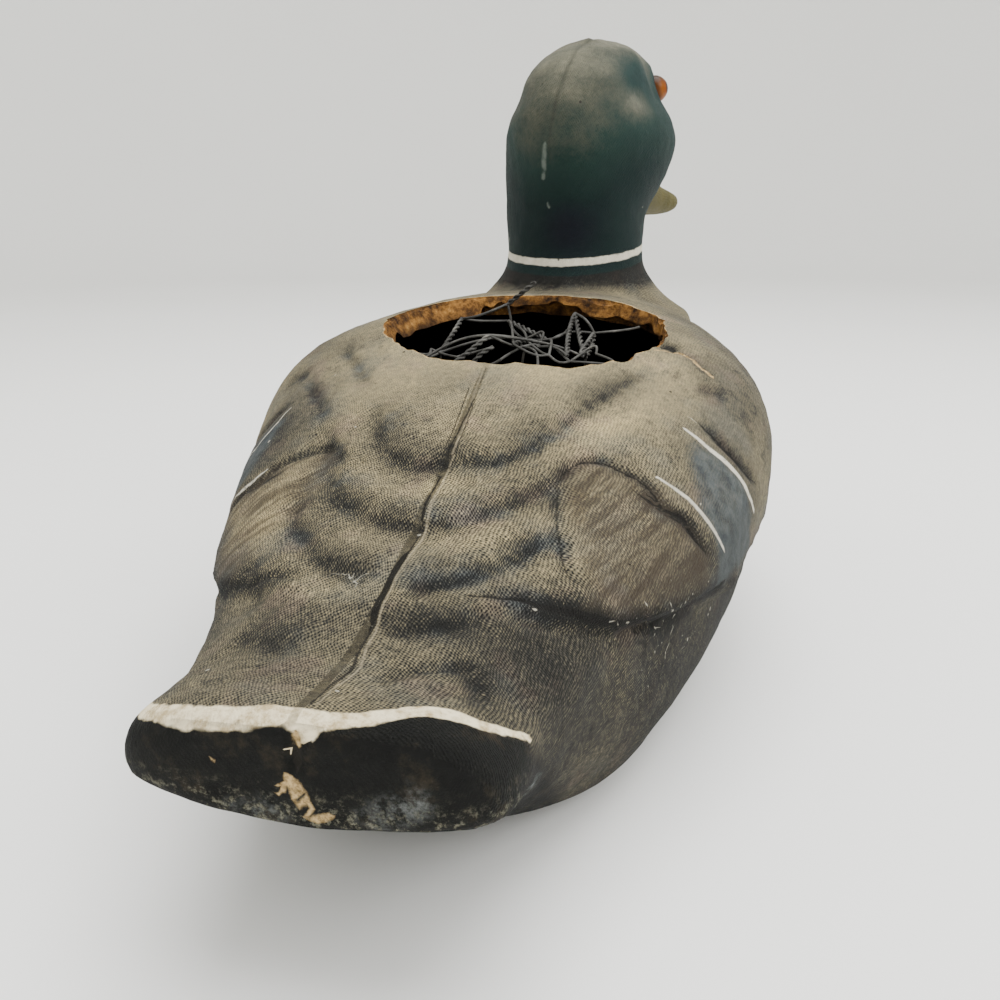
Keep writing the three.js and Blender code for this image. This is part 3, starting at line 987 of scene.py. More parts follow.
def loft(form: Any, rows: int, round_steps: int, inset: float = 0.0) -> Piece:
    """A closed loft of a form: a sphere whose rings are moved to the form's sections.

    Args:
        form: what gives the skin at a place along and a turn round.
        rows: number of rings.
        round_steps: number of points round each ring.
        inset: thickness of the wall for a hollow, or 0 for the outside.

    Returns:
        The new mesh object.
    """
    deselect()
    bpy.ops.mesh.primitive_uv_sphere_add(segments=round_steps, ring_count=rows, radius=1)
    made = bpy.context.object
    points = read_points(made) * MM
    t = np.arccos(np.clip(points[:, 2], -1, 1)) / math.pi
    turn = np.arctan2(points[:, 0], points[:, 1]) / math.pi
    placed = form.skin(t, turn, inset)
    circle = np.linspace(-1, 1, round_steps, endpoint=False)
    for end in (0.0, 1.0):
        pole = np.abs(t - end) < 1e-6
        placed[pole] = form.skin(np.full(round_steps, end), circle, inset).mean(axis=0)
    write_points(made, placed)
    make_active(made)
    bpy.ops.object.mode_set(mode="EDIT")
    bpy.ops.mesh.select_all(action="SELECT")
    bpy.ops.mesh.normals_make_consistent(inside=False)
    bpy.ops.object.mode_set(mode="OBJECT")
    return made


def joined(pieces: Sequence[Piece]) -> Piece:
    """Several pieces as one object.

    Args:
        pieces: the pieces; the first takes up the others.

    Returns:
        The first piece.
    """
    deselect()
    for piece in pieces:
        piece.select_set(True)
    bpy.context.view_layer.objects.active = pieces[0]
    bpy.ops.object.join()
    return pieces[0]


def subtract(piece: Piece, tool: Piece) -> None:
    """Cuts a tool out of a piece; the cut faces keep the tool's material.

    Args:
        piece: what is cut.
        tool: what is cut out of it, and then deleted.
    """
    finish_modifier(
        piece, "BOOLEAN", operation="DIFFERENCE", solver="MANIFOLD", material_mode="TRANSFER", object=tool
    )
    bpy.data.objects.remove(tool)


def drop_crumbs(piece: Piece) -> None:
    """Takes off the loose crumbs that cuts leave: every part but the one that holds the top.

    Args:
        piece: the piece.
    """
    top = int(read_points(piece)[:, 2].argmax())
    make_active(piece)
    bpy.ops.object.mode_set(mode="EDIT")
    bpy.ops.mesh.select_mode(type="VERT")
    bpy.ops.mesh.select_all(action="DESELECT")
    bpy.ops.object.mode_set(mode="OBJECT")
    piece.data.vertices[top].select = True
    bpy.ops.object.mode_set(mode="EDIT")
    bpy.ops.mesh.select_linked()
    bpy.ops.mesh.select_all(action="INVERT")
    bpy.ops.mesh.delete(type="VERT")
    bpy.ops.object.mode_set(mode="OBJECT")


def store(piece: Piece, name: str, values: Array) -> None:
    """Keeps a number at each vertex of a piece for its finish to read."""
    attribute = piece.data.attributes.new(name, "FLOAT", "POINT")
    attribute.data.foreach_set("value", values.astype(np.float32))


class Signal:
    """A number or colour that varies over a surface, with arithmetic on numbers."""

    def __init__(self, nodes: "Nodes", socket: bpy.types.NodeSocket) -> None:
        """Wraps an output socket."""
        self.nodes = nodes
        self.socket = socket

    def maths(self, operation: str, *others: "Signal | float") -> "Signal":
        """One Math node of this signal and others."""
        inputs = {0: self, **{k + 1: other for k, other in enumerate(others)}}
        return self.nodes.node("ShaderNodeMath", {"operation": operation}, inputs)

    def __add__(self, other: "Signal | float") -> "Signal":
        """This plus other."""
        return self.maths("ADD", other)

    __radd__ = __add__

    def __mul__(self, other: "Signal | float") -> "Signal":
        """This times other."""
        return self.maths("MULTIPLY", other)

    __rmul__ = __mul__

    def __sub__(self, other: "Signal | float") -> "Signal":
        """This minus other."""
        return self.maths("SUBTRACT", other)

    def __rsub__(self, other: float) -> "Signal":
        """Other minus this."""
        return self.nodes.node("ShaderNodeMath", {"operation": "SUBTRACT"}, {0: other, 1: self})

    def __neg__(self) -> "Signal":
        """This with its sign turned."""
        return self.maths("MULTIPLY", -1.0)

    def __abs__(self) -> "Signal":
        """The size of this without its sign."""
        return self.maths("ABSOLUTE")

    def sine(self) -> "Signal":
        """The sine of this."""
        return self.maths("SINE")

    def most(self, other: "Signal | float") -> "Signal":
        """The larger of this and other."""
        return self.maths("MAXIMUM", other)

    def rise(self, low: float, high: float) -> "Signal":
        """A smooth rise from 0 where this is low to 1 where it is high."""
        settings = {"interpolation_type": "SMOOTHSTEP", "clamp": True}
        inputs = {"Value": self, "From Min": low, "From Max": high}
        return self.nodes.node("ShaderNodeMapRange", settings, inputs)


@dataclass
class Nodes:
    """The node tree of one material."""

    tree: bpy.types.NodeTree

    def add(
        self, kind: str, settings: dict[str, Any] | None = None, inputs: dict[Any, Any] | None = None
    ) -> bpy.types.Node:
        """Adds a node.

        Args:
            kind: the node's type.
            settings: its properties, set first; stops are a ramp's places and colours.
            inputs: values or signals for its sockets, by name or number.

        Returns:
            The node.
        """
        made = self.tree.nodes.new(kind)
        for name, value in (settings or {}).items():
            if name == "stops":
                self.set_stops(made.color_ramp, value)
            else:
                setattr(made, name, value)
        for name, value in (inputs or {}).items():
            if isinstance(value, Signal):
                self.tree.links.new(value.socket, made.inputs[name])
            else:
                made.inputs[name].default_value = value
        return made

    def node(
        self, kind: str, settings: dict[str, Any] | None = None, inputs: dict[Any, Any] | None = None,
        output: int | str = 0,
    ) -> Signal:
        """Adds a node, as add does, and gives one of its outputs, by name or number."""
        return Signal(self, self.add(kind, settings, inputs).outputs[output])

    @staticmethod
    def set_stops(ramp: bpy.types.ColorRamp, stops: Stops) -> None:
        """Gives a ramp its stops.

        Args:
            ramp: the ramp.
            stops: places from 0 to 1, each with its colour as seen on a screen.
        """
        while len(ramp.elements) < len(stops):
            ramp.elements.new(1.0)
        for element, (place, *colour) in zip(ramp.elements, stops):
            element.position = place
            element.color = srgb(*colour)

    def attribute(self, name: str) -> Signal:
        """A number kept on the mesh."""
        return self.node("ShaderNodeAttribute", {"attribute_name": name}, output="Fac")

    def place(self) -> Signal:
        """The place on the object, in metres."""
        return self.node("ShaderNodeTexCoord", output="Object")

    def axis(self, name: str, where: Signal | None = None) -> Signal:
        """One coordinate of a place, or else of the place on the object, in metres."""
        return self.node("ShaderNodeSeparateXYZ", {}, {0: where or self.place()}, name)

    def vector(self, operation: str, inputs: dict[int, Any], output: str = "Vector") -> Signal:
        """One Vector Math node."""
        return self.node("ShaderNodeVectorMath", {"operation": operation}, inputs, output)

    def shifted(self, by: float) -> Signal:
        """The place on the object moved sideways by some metres, for noise that differs."""
        return self.vector("ADD", {0: self.place(), 1: (by, -by, 2 * by)})

    def clouds(
        self, size: float, detail: float = 4.0, rough: float = 0.55, where: Signal | None = None
    ) -> Signal:
        """Soft noise from 0 to 1 with lumps of a size in millimetres.

        Args:
            size: the size of the lumps.
            detail: how many finer layers it has.
            rough: how strong the finer layers are.
            where: the place it is read at, or else the place on the object.

        Returns:
            The noise.
        """
        inputs = {
            "Vector": where or self.place(), "Scale": 1 / (size * MM), "Detail": detail, "Roughness": rough,
        }
        return self.node("ShaderNodeTexNoise", {}, inputs, "Fac")

    def stray(self, amount: float, *noise_settings: Any) -> Signal:
        """Soft noise about 0 that spans an amount; its other settings are those of clouds."""
        return (self.clouds(*noise_settings) - 0.5) * amount

    def ramp(self, value: Signal, stops: Stops) -> Signal:
        """A colour for each value."""
        return self.node("ShaderNodeValToRGB", {"stops": stops}, {"Fac": value}, "Color")

    def mix(
        self, share: Signal | float, first: Signal | Rgb, second: Signal | Rgb, blend: str = "MIX"
    ) -> Signal:
        """A colour between two.

        Args:
            share: how much of the second there is, from 0 to 1.
            first: a colour, as a signal or as seen on a screen.
            second: the other colour.
            blend: the way they are blended.

        Returns:
            The colour.
        """
        settings = {"data_type": "RGBA", "blend_type": blend, "clamp_factor": True}
        pair = [colour if isinstance(colour, Signal) else srgb(*colour) for colour in (first, second)]
        return self.node("ShaderNodeMix", settings, {0: share, 6: pair[0], 7: pair[1]}, 2)

    def bump(self, height: Signal, depth: float) -> Signal:
        """A surface direction from a height from 0 to 1 that stands for a depth in millimetres."""
        inputs = {"Strength": 1.0, "Distance": depth * MM, "Height": height}
        return self.node("ShaderNodeBump", {}, inputs)

    def edge(self, name: str, wobble: float, soft: float = 0.25, size: float = 3.0) -> Signal:
        """A mark's share: 1 inside, with an edge that wanders by wobble millimetres."""
        return (self.attribute(name) + self.stray(2 * wobble, size, 4)).rise(-soft, soft)

    def line(self, name: str, wobble: float, soft: float = 0.15, size: float = 2.0) -> Signal:
        """A narrow mark's share.

        Args:
            name: what the names of the mark's layers start with.
            wobble: how far its edge wanders, in millimetres.
            soft: how soft its edge is.
            size: the size of the edge's waves.

        Returns:
            The share, 1 inside the mark.
        """
        wander = self.stray(wobble, 3, 2, 0.5, self.shifted(0.3))
        sideways = abs(self.attribute(f"{name}_off") + wander)
        stray = self.stray(2 * wobble, size, 4)
        return (self.attribute(f"{name}_half") - sideways + stray).rise(-soft, soft)

    def specks(self, spacing: float, size: float, rarity: float) -> Signal:
        """Scattered small specks.

        Args:
            spacing: the distance between the places where specks may be.
            size: their radius.
            rarity: how few of the places have one, from 0 to 1.

        Returns:
            The share of the specks.
        """
        inputs = {"Vector": self.place(), "Scale": 1 / (spacing * MM)}
        gap = self.node("ShaderNodeTexVoronoi", {}, inputs, "Distance")
        chance = self.clouds(spacing * 0.9, 1, 0.5, self.shifted(0.7))
        return (size - gap * spacing).rise(-0.1, 0.15) * chance.rise(rarity, rarity + 0.02)

    def surface(self, inputs: dict[str, Any]) -> None:
        """Ends the tree in a Principled shader with these inputs."""
        shader = self.node("ShaderNodeBsdfPrincipled", {}, inputs)
        self.add("ShaderNodeOutputMaterial", {}, {"Surface": shader})


class Finish:
    """The looks of one kind of surface."""

    name: str

    def inputs(self, nodes: Nodes) -> dict[str, Any]:
        """What goes into the Principled shader.

        Args:
            nodes: the material's nodes.

        Returns:
            Its inputs by name.

        Raises:
            NotImplementedError: each finish has its own.
        """
        raise NotImplementedError

    def make(self) -> bpy.types.Material:
        """Builds the material.

        Returns:
            The material.
        """
        material = bpy.data.materials.new(self.name)
        material.use_nodes = True
        material.node_tree.nodes.clear()
        nodes = Nodes(material.node_tree)
        nodes.surface(self.inputs(nodes))
        return material


@dataclass(frozen=True)
class PaintedPulp(Finish):
    """Old matt paint over moulded pulp that keeps the print of a knitted cloth.

    Sizes are in millimetres and colours as seen on a screen; the stops of a ramp run from dark to light.
    """

    name: str = "painted_pulp"
    stitch: float = 0.76
    course: float = 1.15
    taupe: Stops = (
        (0.0, 22, 22, 20), (0.2, 51, 49, 43), (0.42, 91, 85, 68), (0.62, 127, 117, 90),
        (0.82, 164, 148, 108), (1.0, 198, 181, 136),
    )
    cool: Stops = ((0.0, 24, 26, 27), (0.5, 82, 87, 87), (1.0, 150, 146, 120))
    pink: Stops = ((0.0, 30, 24, 21), (0.5, 106, 92, 80), (1.0, 186, 164, 132))
    green: Stops = (
        (0.0, 3, 10, 20), (0.1, 3, 26, 24), (0.34, 20, 42, 37), (0.55, 62, 64, 54),
        (0.78, 99, 97, 81), (1.0, 136, 130, 110),
    )
    teal: Stops = ((0.0, 8, 22, 34), (0.5, 56, 78, 82), (1.0, 126, 134, 130))
    black: Stops = ((0.3, 3, 4, 3), (0.53, 11, 12, 9), (0.66, 36, 31, 22), (0.8, 70, 59, 42))
    brushed: Rgb = (98, 87, 69)
    brush_lines: Rgb = (50, 43, 34)
    slate: Pair = ((38, 46, 52), (80, 86, 86))
    low_slate: Rgb = (52, 55, 54)
    scuff: Rgb = (128, 132, 130)
    dust: Pair = ((92, 98, 92), (158, 150, 122))
    # colour of the dark fold lines: ink and painted shade
    ink: Rgb = (17, 16, 14)
    seam_edge: Rgb = (186, 172, 142)
    seam: Rgb = (27, 25, 21)
    white: Pair = ((166, 160, 143), (226, 221, 206))
    cream: Pair = ((166, 147, 108), (232, 219, 186))
    crest: Rgb = (40, 42, 34)
    scratch: Rgb = (134, 142, 132)
    ring: Pair = ((168, 162, 144), (226, 220, 202))
    olive: Pair = ((54, 50, 25), (92, 86, 48))
    fleck: Rgb = (192, 187, 170)
    dot: Rgb = (22, 20, 17)
    fibre: Pair = ((108, 88, 54), (196, 168, 120))

    def knit(self, nodes: Nodes) -> tuple[Signal, Signal]:
        """The knitted print.

        Args:
            nodes: the material's nodes.

        Returns:
            Its pits and the worn grains between them, each from 0 to 1.
        """
        drift = nodes.stray(2.4, 6, 3) + nodes.stray(0.5, 1.3, 2)
        across = nodes.attribute("knit_across") + drift
        along = nodes.attribute("knit_along") + nodes.stray(2.4, 5, 3, 0.6, nodes.shifted(0.2))
        columns = (across * (2 * math.pi / self.stitch)).sine()
        courses = ((along + across * 0.35) * (2 * math.pi / self.course)).sine()
        lattice = columns * courses
        wear = nodes.clouds(1.2, 4, 0.75)
        pits = lattice.rise(-0.05, 0.75) * wear.rise(0.34, 0.6)
        grains = (-lattice).rise(0.0, 0.85) * (-wear).rise(-0.62, -0.4)
        return pits, grains

    def body_colour(self, nodes: Nodes, pits: Signal, grains: Signal) -> Signal:
        """Taupe paint, darkened in the hollows by grime and painted shade, and worn light on the stitches.

        Args:
            nodes: the material's nodes.
            pits: the pits of the knitted print.
            grains: the worn grains between them.

        Returns:
            The colour.
        """
        soot = nodes.attribute("soot")
        strength = nodes.attribute("knit_share") * (nodes.clouds(15, 3) * 1.4 + 0.3 + soot * 0.4)
        patch = nodes.stray(0.5, 20, 5)
        grain = nodes.stray(0.7, 1.3, 7, 0.8)
        blots = nodes.clouds(4.5, 7, 0.75).rise(0.5, 0.72)
        blots = blots * nodes.clouds(28, 3, 0.5, nodes.shifted(0.4)).rise(0.4, 0.62)
        # grime and painted shade in the folds and along the feather steps darken the paint
        grime_and_shade = soot * (nodes.clouds(8, 6, 0.65) * 2.2 - 0.25)
        worn = (grains * 0.34 - pits * 0.58) * strength
        value = nodes.attribute("tone") + patch + grain + worn - grime_and_shade * 0.58 - blots * 0.28
        washed = nodes.clouds(14, 4).rise(0.47, 0.7) * (soot.rise(-0.1, 0.7) * 0.7 + 0.25)
        colour = nodes.mix(washed, nodes.ramp(value, self.taupe), nodes.ramp(value, self.cool))
        warm = nodes.clouds(10, 4, 0.5, nodes.shifted(0.5)).rise(0.52, 0.72)
        return nodes.mix(warm * 0.5, colour, nodes.ramp(value, self.pink))

    def panel_colour(self, nodes: Nodes, colour: Signal) -> Signal:
        """Long brownish brush strokes over the folded wing.

        Args:
            nodes: the material's nodes.
            colour: the colour under them.

        Returns:
            The colour with the strokes.
        """
        along, across = nodes.attribute("knit_along"), nodes.attribute("knit_across")
        stretched = nodes.node("ShaderNodeCombineXYZ", {}, {
            "X": (along * 0.88 - across * 0.47) * 0.55, "Y": (across * 0.88 + along * 0.47) * 0.06,
        })
        inputs = {"Vector": stretched, "Scale": 1.0, "Detail": 3.0}
        strokes = nodes.node("ShaderNodeTexNoise", {}, inputs, "Fac")
        share = nodes.attribute("panel").rise(-3, 3) * (nodes.clouds(6, 4) + 0.25)
        brushed = nodes.mix(share * 0.35, colour, self.brushed)
        return nodes.mix(strokes.rise(0.42, 0.62) * share * 0.85, brushed, self.brush_lines)

    def patch_colour(self, nodes: Nodes, colour: Signal) -> Signal:
        """The dull blue wing patch.

        Args:
            nodes: the material's nodes.
            colour: the colour under it.

        Returns:
            The colour with the patch.
        """
        low = nodes.axis("Z").rise(0.063, 0.05)
        thin = nodes.clouds(5, 5, 0.65) * 0.9 + 0.3 + low * 0.25
        blue = nodes.edge("speculum", 2.5, 2.0, 6) * thin
        slate = nodes.mix(nodes.clouds(3.5, 6, 0.7).rise(0.3, 0.7), *self.slate)
        return nodes.mix(blue, colour, nodes.mix(low * 0.6, slate, self.low_slate))

    def rump_colour(self, nodes: Nodes, colour: Signal) -> Signal:
        """The black rump, scuffed, and dusty at its foot.

        Args:
            nodes: the material's nodes.
            colour: the colour under it.

        Returns:
            The colour with the rump.
        """
        black = nodes.ramp(nodes.clouds(7, 6, 0.7), self.black)
        colour = nodes.mix(nodes.edge("rump", 3.0, 2.5, 8), colour, black)
        haze = nodes.edge("scuffs", 2.5, 2.6, 5) * nodes.clouds(1.8, 6, 0.75).rise(0.38, 0.8)
        colour = nodes.mix(haze * 0.75, colour, self.scuff)
        foot = nodes.attribute("rump_foot") * nodes.clouds(1.6, 6, 0.78).rise(0.5, 0.66)
        return nodes.mix(foot * 0.75, colour, nodes.mix(nodes.clouds(2.2, 4), *self.dust))

    def drawn_lines(self, nodes: Nodes, colour: Signal) -> Signal:
        """The folds darkened with ink and painted shade, the seam and the white wing bars.

        Args:
            nodes: the material's nodes.
            colour: the colour under them.

        Returns:
            The colour with the lines.
        """
        # dark lines in the folds and the gouge: ink and painted shade
        colour = nodes.mix(nodes.line("ink", 0.35, 0.3) * 0.9, colour, self.ink)
        colour = nodes.mix(nodes.line("seam_edge", 0.15, 0.2) * 0.28, colour, self.seam_edge)
        colour = nodes.mix(nodes.line("seam", 0.16, 0.16) * 0.92, colour, self.seam)
        bars = nodes.line("bars", 0.12, 0.25) * nodes.clouds(1.1, 4, 0.7).rise(0.2, 0.5) * 0.92
        return nodes.mix(bars, colour, nodes.mix(nodes.clouds(2.0, 5, 0.7), *self.white))

    def head_colour(self, nodes: Nodes, pits: Signal) -> Signal:
        """Dark green going dusty and faded towards the crown.

        Args:
            nodes: the material's nodes.
            pits: the pits of the knitted print.

        Returns:
            The colour.
        """
        mottle = nodes.stray(0.6, 9, 6, 0.66) + nodes.stray(0.3, 1.4, 5, 0.75)
        tone = nodes.attribute("head_tone")
        value = tone + mottle * (tone + 0.25).rise(0.3, 0.9) - pits * 0.07
        patch = nodes.attribute("head_teal") * (nodes.clouds(7, 4) + 0.35)
        return nodes.mix(patch, nodes.ramp(value, self.green), nodes.ramp(value, self.teal))

    def head_and_bill(self, nodes: Nodes, colour: Signal, head: Signal, pits: Signal) -> Signal:
        """The green head with its crest and scratches, the white neck ring and the olive bill.

        Args:
            nodes: the material's nodes.
            colour: the colour under them.
            head: the share of the head's paint.
            pits: the pits of the knitted print.

        Returns:
            The colour with head, ring and bill.
        """
        crest = nodes.line("crest", 0.35, 0.8) * (nodes.clouds(4, 4) + 0.2)
        colour = nodes.mix(head, colour, nodes.mix(crest * 0.75, self.head_colour(nodes, pits), self.crest))
        scratch = nodes.line("scratch", 0.2, 0.5, 3) * nodes.clouds(2.5, 3).rise(0.25, 0.6)
        colour = nodes.mix(scratch * 0.42, colour, self.scratch)
        ring = nodes.edge("ring", 0.45, 0.25, 3)
        colour = nodes.mix(ring, colour, nodes.mix(nodes.clouds(2.5, 5), *self.ring))
        olive = nodes.mix(nodes.clouds(6, 5), *self.olive)
        return nodes.mix(nodes.edge("bill", 0.4, 0.5, 4), colour, olive)

    def inputs(self, nodes: Nodes) -> dict[str, Any]:
        """What goes into the Principled shader.

        Args:
            nodes: the material's nodes.

        Returns:
            Its inputs by name.
        """
        pits, grains = self.knit(nodes)
        colour = self.panel_colour(nodes, self.body_colour(nodes, pits, grains))
        colour = self.rump_colour(nodes, self.patch_colour(nodes, colour))
        colour = self.drawn_lines(nodes, colour)
        band = nodes.line("tail_band", 0.75, 0.25, 5)
        cream = nodes.mix(nodes.clouds(2.6, 6, 0.7).rise(0.32, 0.62), *self.cream)
        colour = nodes.mix(band, colour, cream)
        head = nodes.edge("collar", 0.35, 0.3, 4)
        colour = self.head_and_bill(nodes, colour, head, pits)
        flecks = nodes.line("flecks", 0.3, 0.15, 0.7).most(nodes.specks(5.0, 0.55, 0.67))
        colour = nodes.mix(flecks * 0.6, colour, self.fleck)
        colour = nodes.mix(nodes.specks(3.2, 0.42, 0.66) * 0.85, colour, self.dot)
        chips = nodes.line("chips", 0.5, 0.3, 1.2).most(nodes.edge("rim", 0.8, 0.25, 1.8))
        fibre = nodes.mix(nodes.clouds(1.1, 6, 0.75).rise(0.32, 0.66), *self.fibre)
        colour = nodes.mix(chips, colour, fibre)
        knit_height = (grains * 0.5 - pits) * nodes.attribute("knit_share") * (1.0 - band * 0.75)
        height = knit_height * 0.45 + nodes.clouds(1.3, 7, 0.72) * 0.6 - chips * 0.3
        return {
            "Base Color": colour, "Roughness": nodes.stray(0.12, 3, 3) + 0.87 - head * 0.14,
            "Normal": nodes.bump(height, 0.6), "Specular IOR Level": 0.2,
        }


@dataclass(frozen=True)
class RawPulp(Finish):
    """The torn edge of the opening: tan fibre, with painted shade darkening it deeper under the skin."""

    name: str = "raw_pulp"
    fibre: Stops = (
        (0.28, 34, 22, 12), (0.4, 92, 62, 28), (0.52, 146, 103, 50), (0.64, 184, 142, 78),
        (0.78, 222, 198, 148),
    )
    shade: Rgb = (38, 24, 12)

    def inputs(self, nodes: Nodes) -> dict[str, Any]:
        """What goes into the Principled shader.

        Args:
            nodes: the material's nodes.

        Returns:
            Its inputs by name.
        """
        grain = nodes.clouds(4.5, 7, 0.72)
        # painted shade: the cut wall darkens the deeper it lies under the skin
        deep = (nodes.attribute("under") + nodes.stray(4, 5, 4)).rise(2.5, 7.0)
        colour = nodes.mix(deep * 0.85, nodes.ramp(grain - 0.085, self.fibre), self.shade)
        height = grain * 0.6 + nodes.clouds(0.7, 5, 0.7) * 0.4
        return {
            "Base Color": colour, "Roughness": 0.95, "Normal": nodes.bump(height, 1.2),
            "Specular IOR Level": 0.2,
        }


@dataclass(frozen=True)
class DarkPulp(Finish):
    """The inside of the hollow, painted dark brown to near black for the shade inside it."""

    name: str = "dark_pulp"
    shaded_browns: Stops = ((0.3, 12, 9, 7), (0.75, 40, 29, 19))

    def inputs(self, nodes: Nodes) -> dict[str, Any]:
        """What goes into the Principled shader.

        Args:
            nodes: the material's nodes.

        Returns:
            Its inputs by name.
        """
        return {
            # painted shade: dark brown to near black over the raw pulp
            "Base Color": nodes.ramp(nodes.clouds(7, 6, 0.6), self.shaded_browns), "Roughness": 0.95,
            "Normal": nodes.bump(nodes.clouds(1.8, 6), 0.8), "Specular IOR Level": 0.15,
        }


@dataclass(frozen=True)
class AmberGlass(Finish):
    """An amber glass eye with a black pupil and a painted shadow of the brow over its top, by its side, its
    middle and the way it looks.
    """

    side: Side
    centre: Array
    out: Array
    radius: float = 4.3
    iris: Stops = (
        (0.0, 6, 4, 3), (0.46, 8, 5, 3), (0.52, 122, 60, 4), (0.85, 130, 72, 5), (1.0, 84, 46, 7),
    )
    streak: Rgb = (150, 110, 70)
    shadow: Rgb = (34, 20, 9)

    @property
    def name(self) -> str:
        """The material's name."""
        return f"amber_glass_{self.side.name.lower()}"

    def inputs(self, nodes: Nodes) -> dict[str, Any]:
        """What goes into the Principled shader.

        Args:
            nodes: the material's nodes.

        Returns:
            Its inputs by name.
        """
        shift = nodes.vector("SUBTRACT", {0: nodes.place(), 1: tuple(self.centre * MM)})
        depth = nodes.vector("DOT_PRODUCT", {0: shift, 1: tuple(self.out)}, "Value")
        size = nodes.vector("LENGTH", {0: shift}, "Value")
        away = (size * size - depth * depth).most(0.0).maths("SQRT") * (1 / (MM * self.radius))
        iris = nodes.ramp(away, self.iris)
        streaks = nodes.clouds(0.9, 3)
        colour = nodes.mix(streaks * 0.4, iris, nodes.mix(1.0, iris, self.streak, "MULTIPLY"))
        # painted shadow of the brow over the top of the eye
        brow_shadow = nodes.axis("Z", shift).rise(0.0, 0.0042)
        return {
            "Base Color": nodes.mix(brow_shadow * 0.8, colour, self.shadow), "Roughness": 0.3 + streaks * 0.1,
            "Coat Weight": 0.12, "Coat Roughness": 0.05, "Specular IOR Level": 0.1,
        }


@dataclass(frozen=True)
class ZincWire(Finish):
    """Dull zinc-coated wire with dark and rusty spots."""

    name: str = "zinc_wire"
    zinc: Stops = ((0.3, 28, 25, 22), (0.46, 50, 49, 46), (0.62, 76, 75, 71), (0.78, 116, 112, 102))

    def inputs(self, nodes: Nodes) -> dict[str, Any]:
        """What goes into the Principled shader.

        Args:
            nodes: the material's nodes.

        Returns:
            Its inputs by name.
        """
        spots = nodes.clouds(7, 6, 0.68)
        return {
            "Base Color": nodes.ramp(spots, self.zinc), "Roughness": 0.75 - spots * 0.25,
            "Metallic": nodes.clouds(3, 4).rise(0.35, 0.55) * 0.5,
            "Normal": nodes.bump(nodes.clouds(0.5, 4), 0.08),
        }


@dataclass(frozen=True)
class PaleGround(Finish):
    """The plain pale floor."""

    name: str = "pale_ground"
    tints: Pair = ((243, 243, 241), (248, 248, 246))

    def inputs(self, nodes: Nodes) -> dict[str, Any]:
        """What goes into the Principled shader.

        Args:
            nodes: the material's nodes.

        Returns:
            Its inputs by name.
        """
        tint = nodes.mix(nodes.clouds(300, 2), *self.tints)
        return {"Base Color": tint, "Roughness": 0.7, "Specular IOR Level": 0.2}


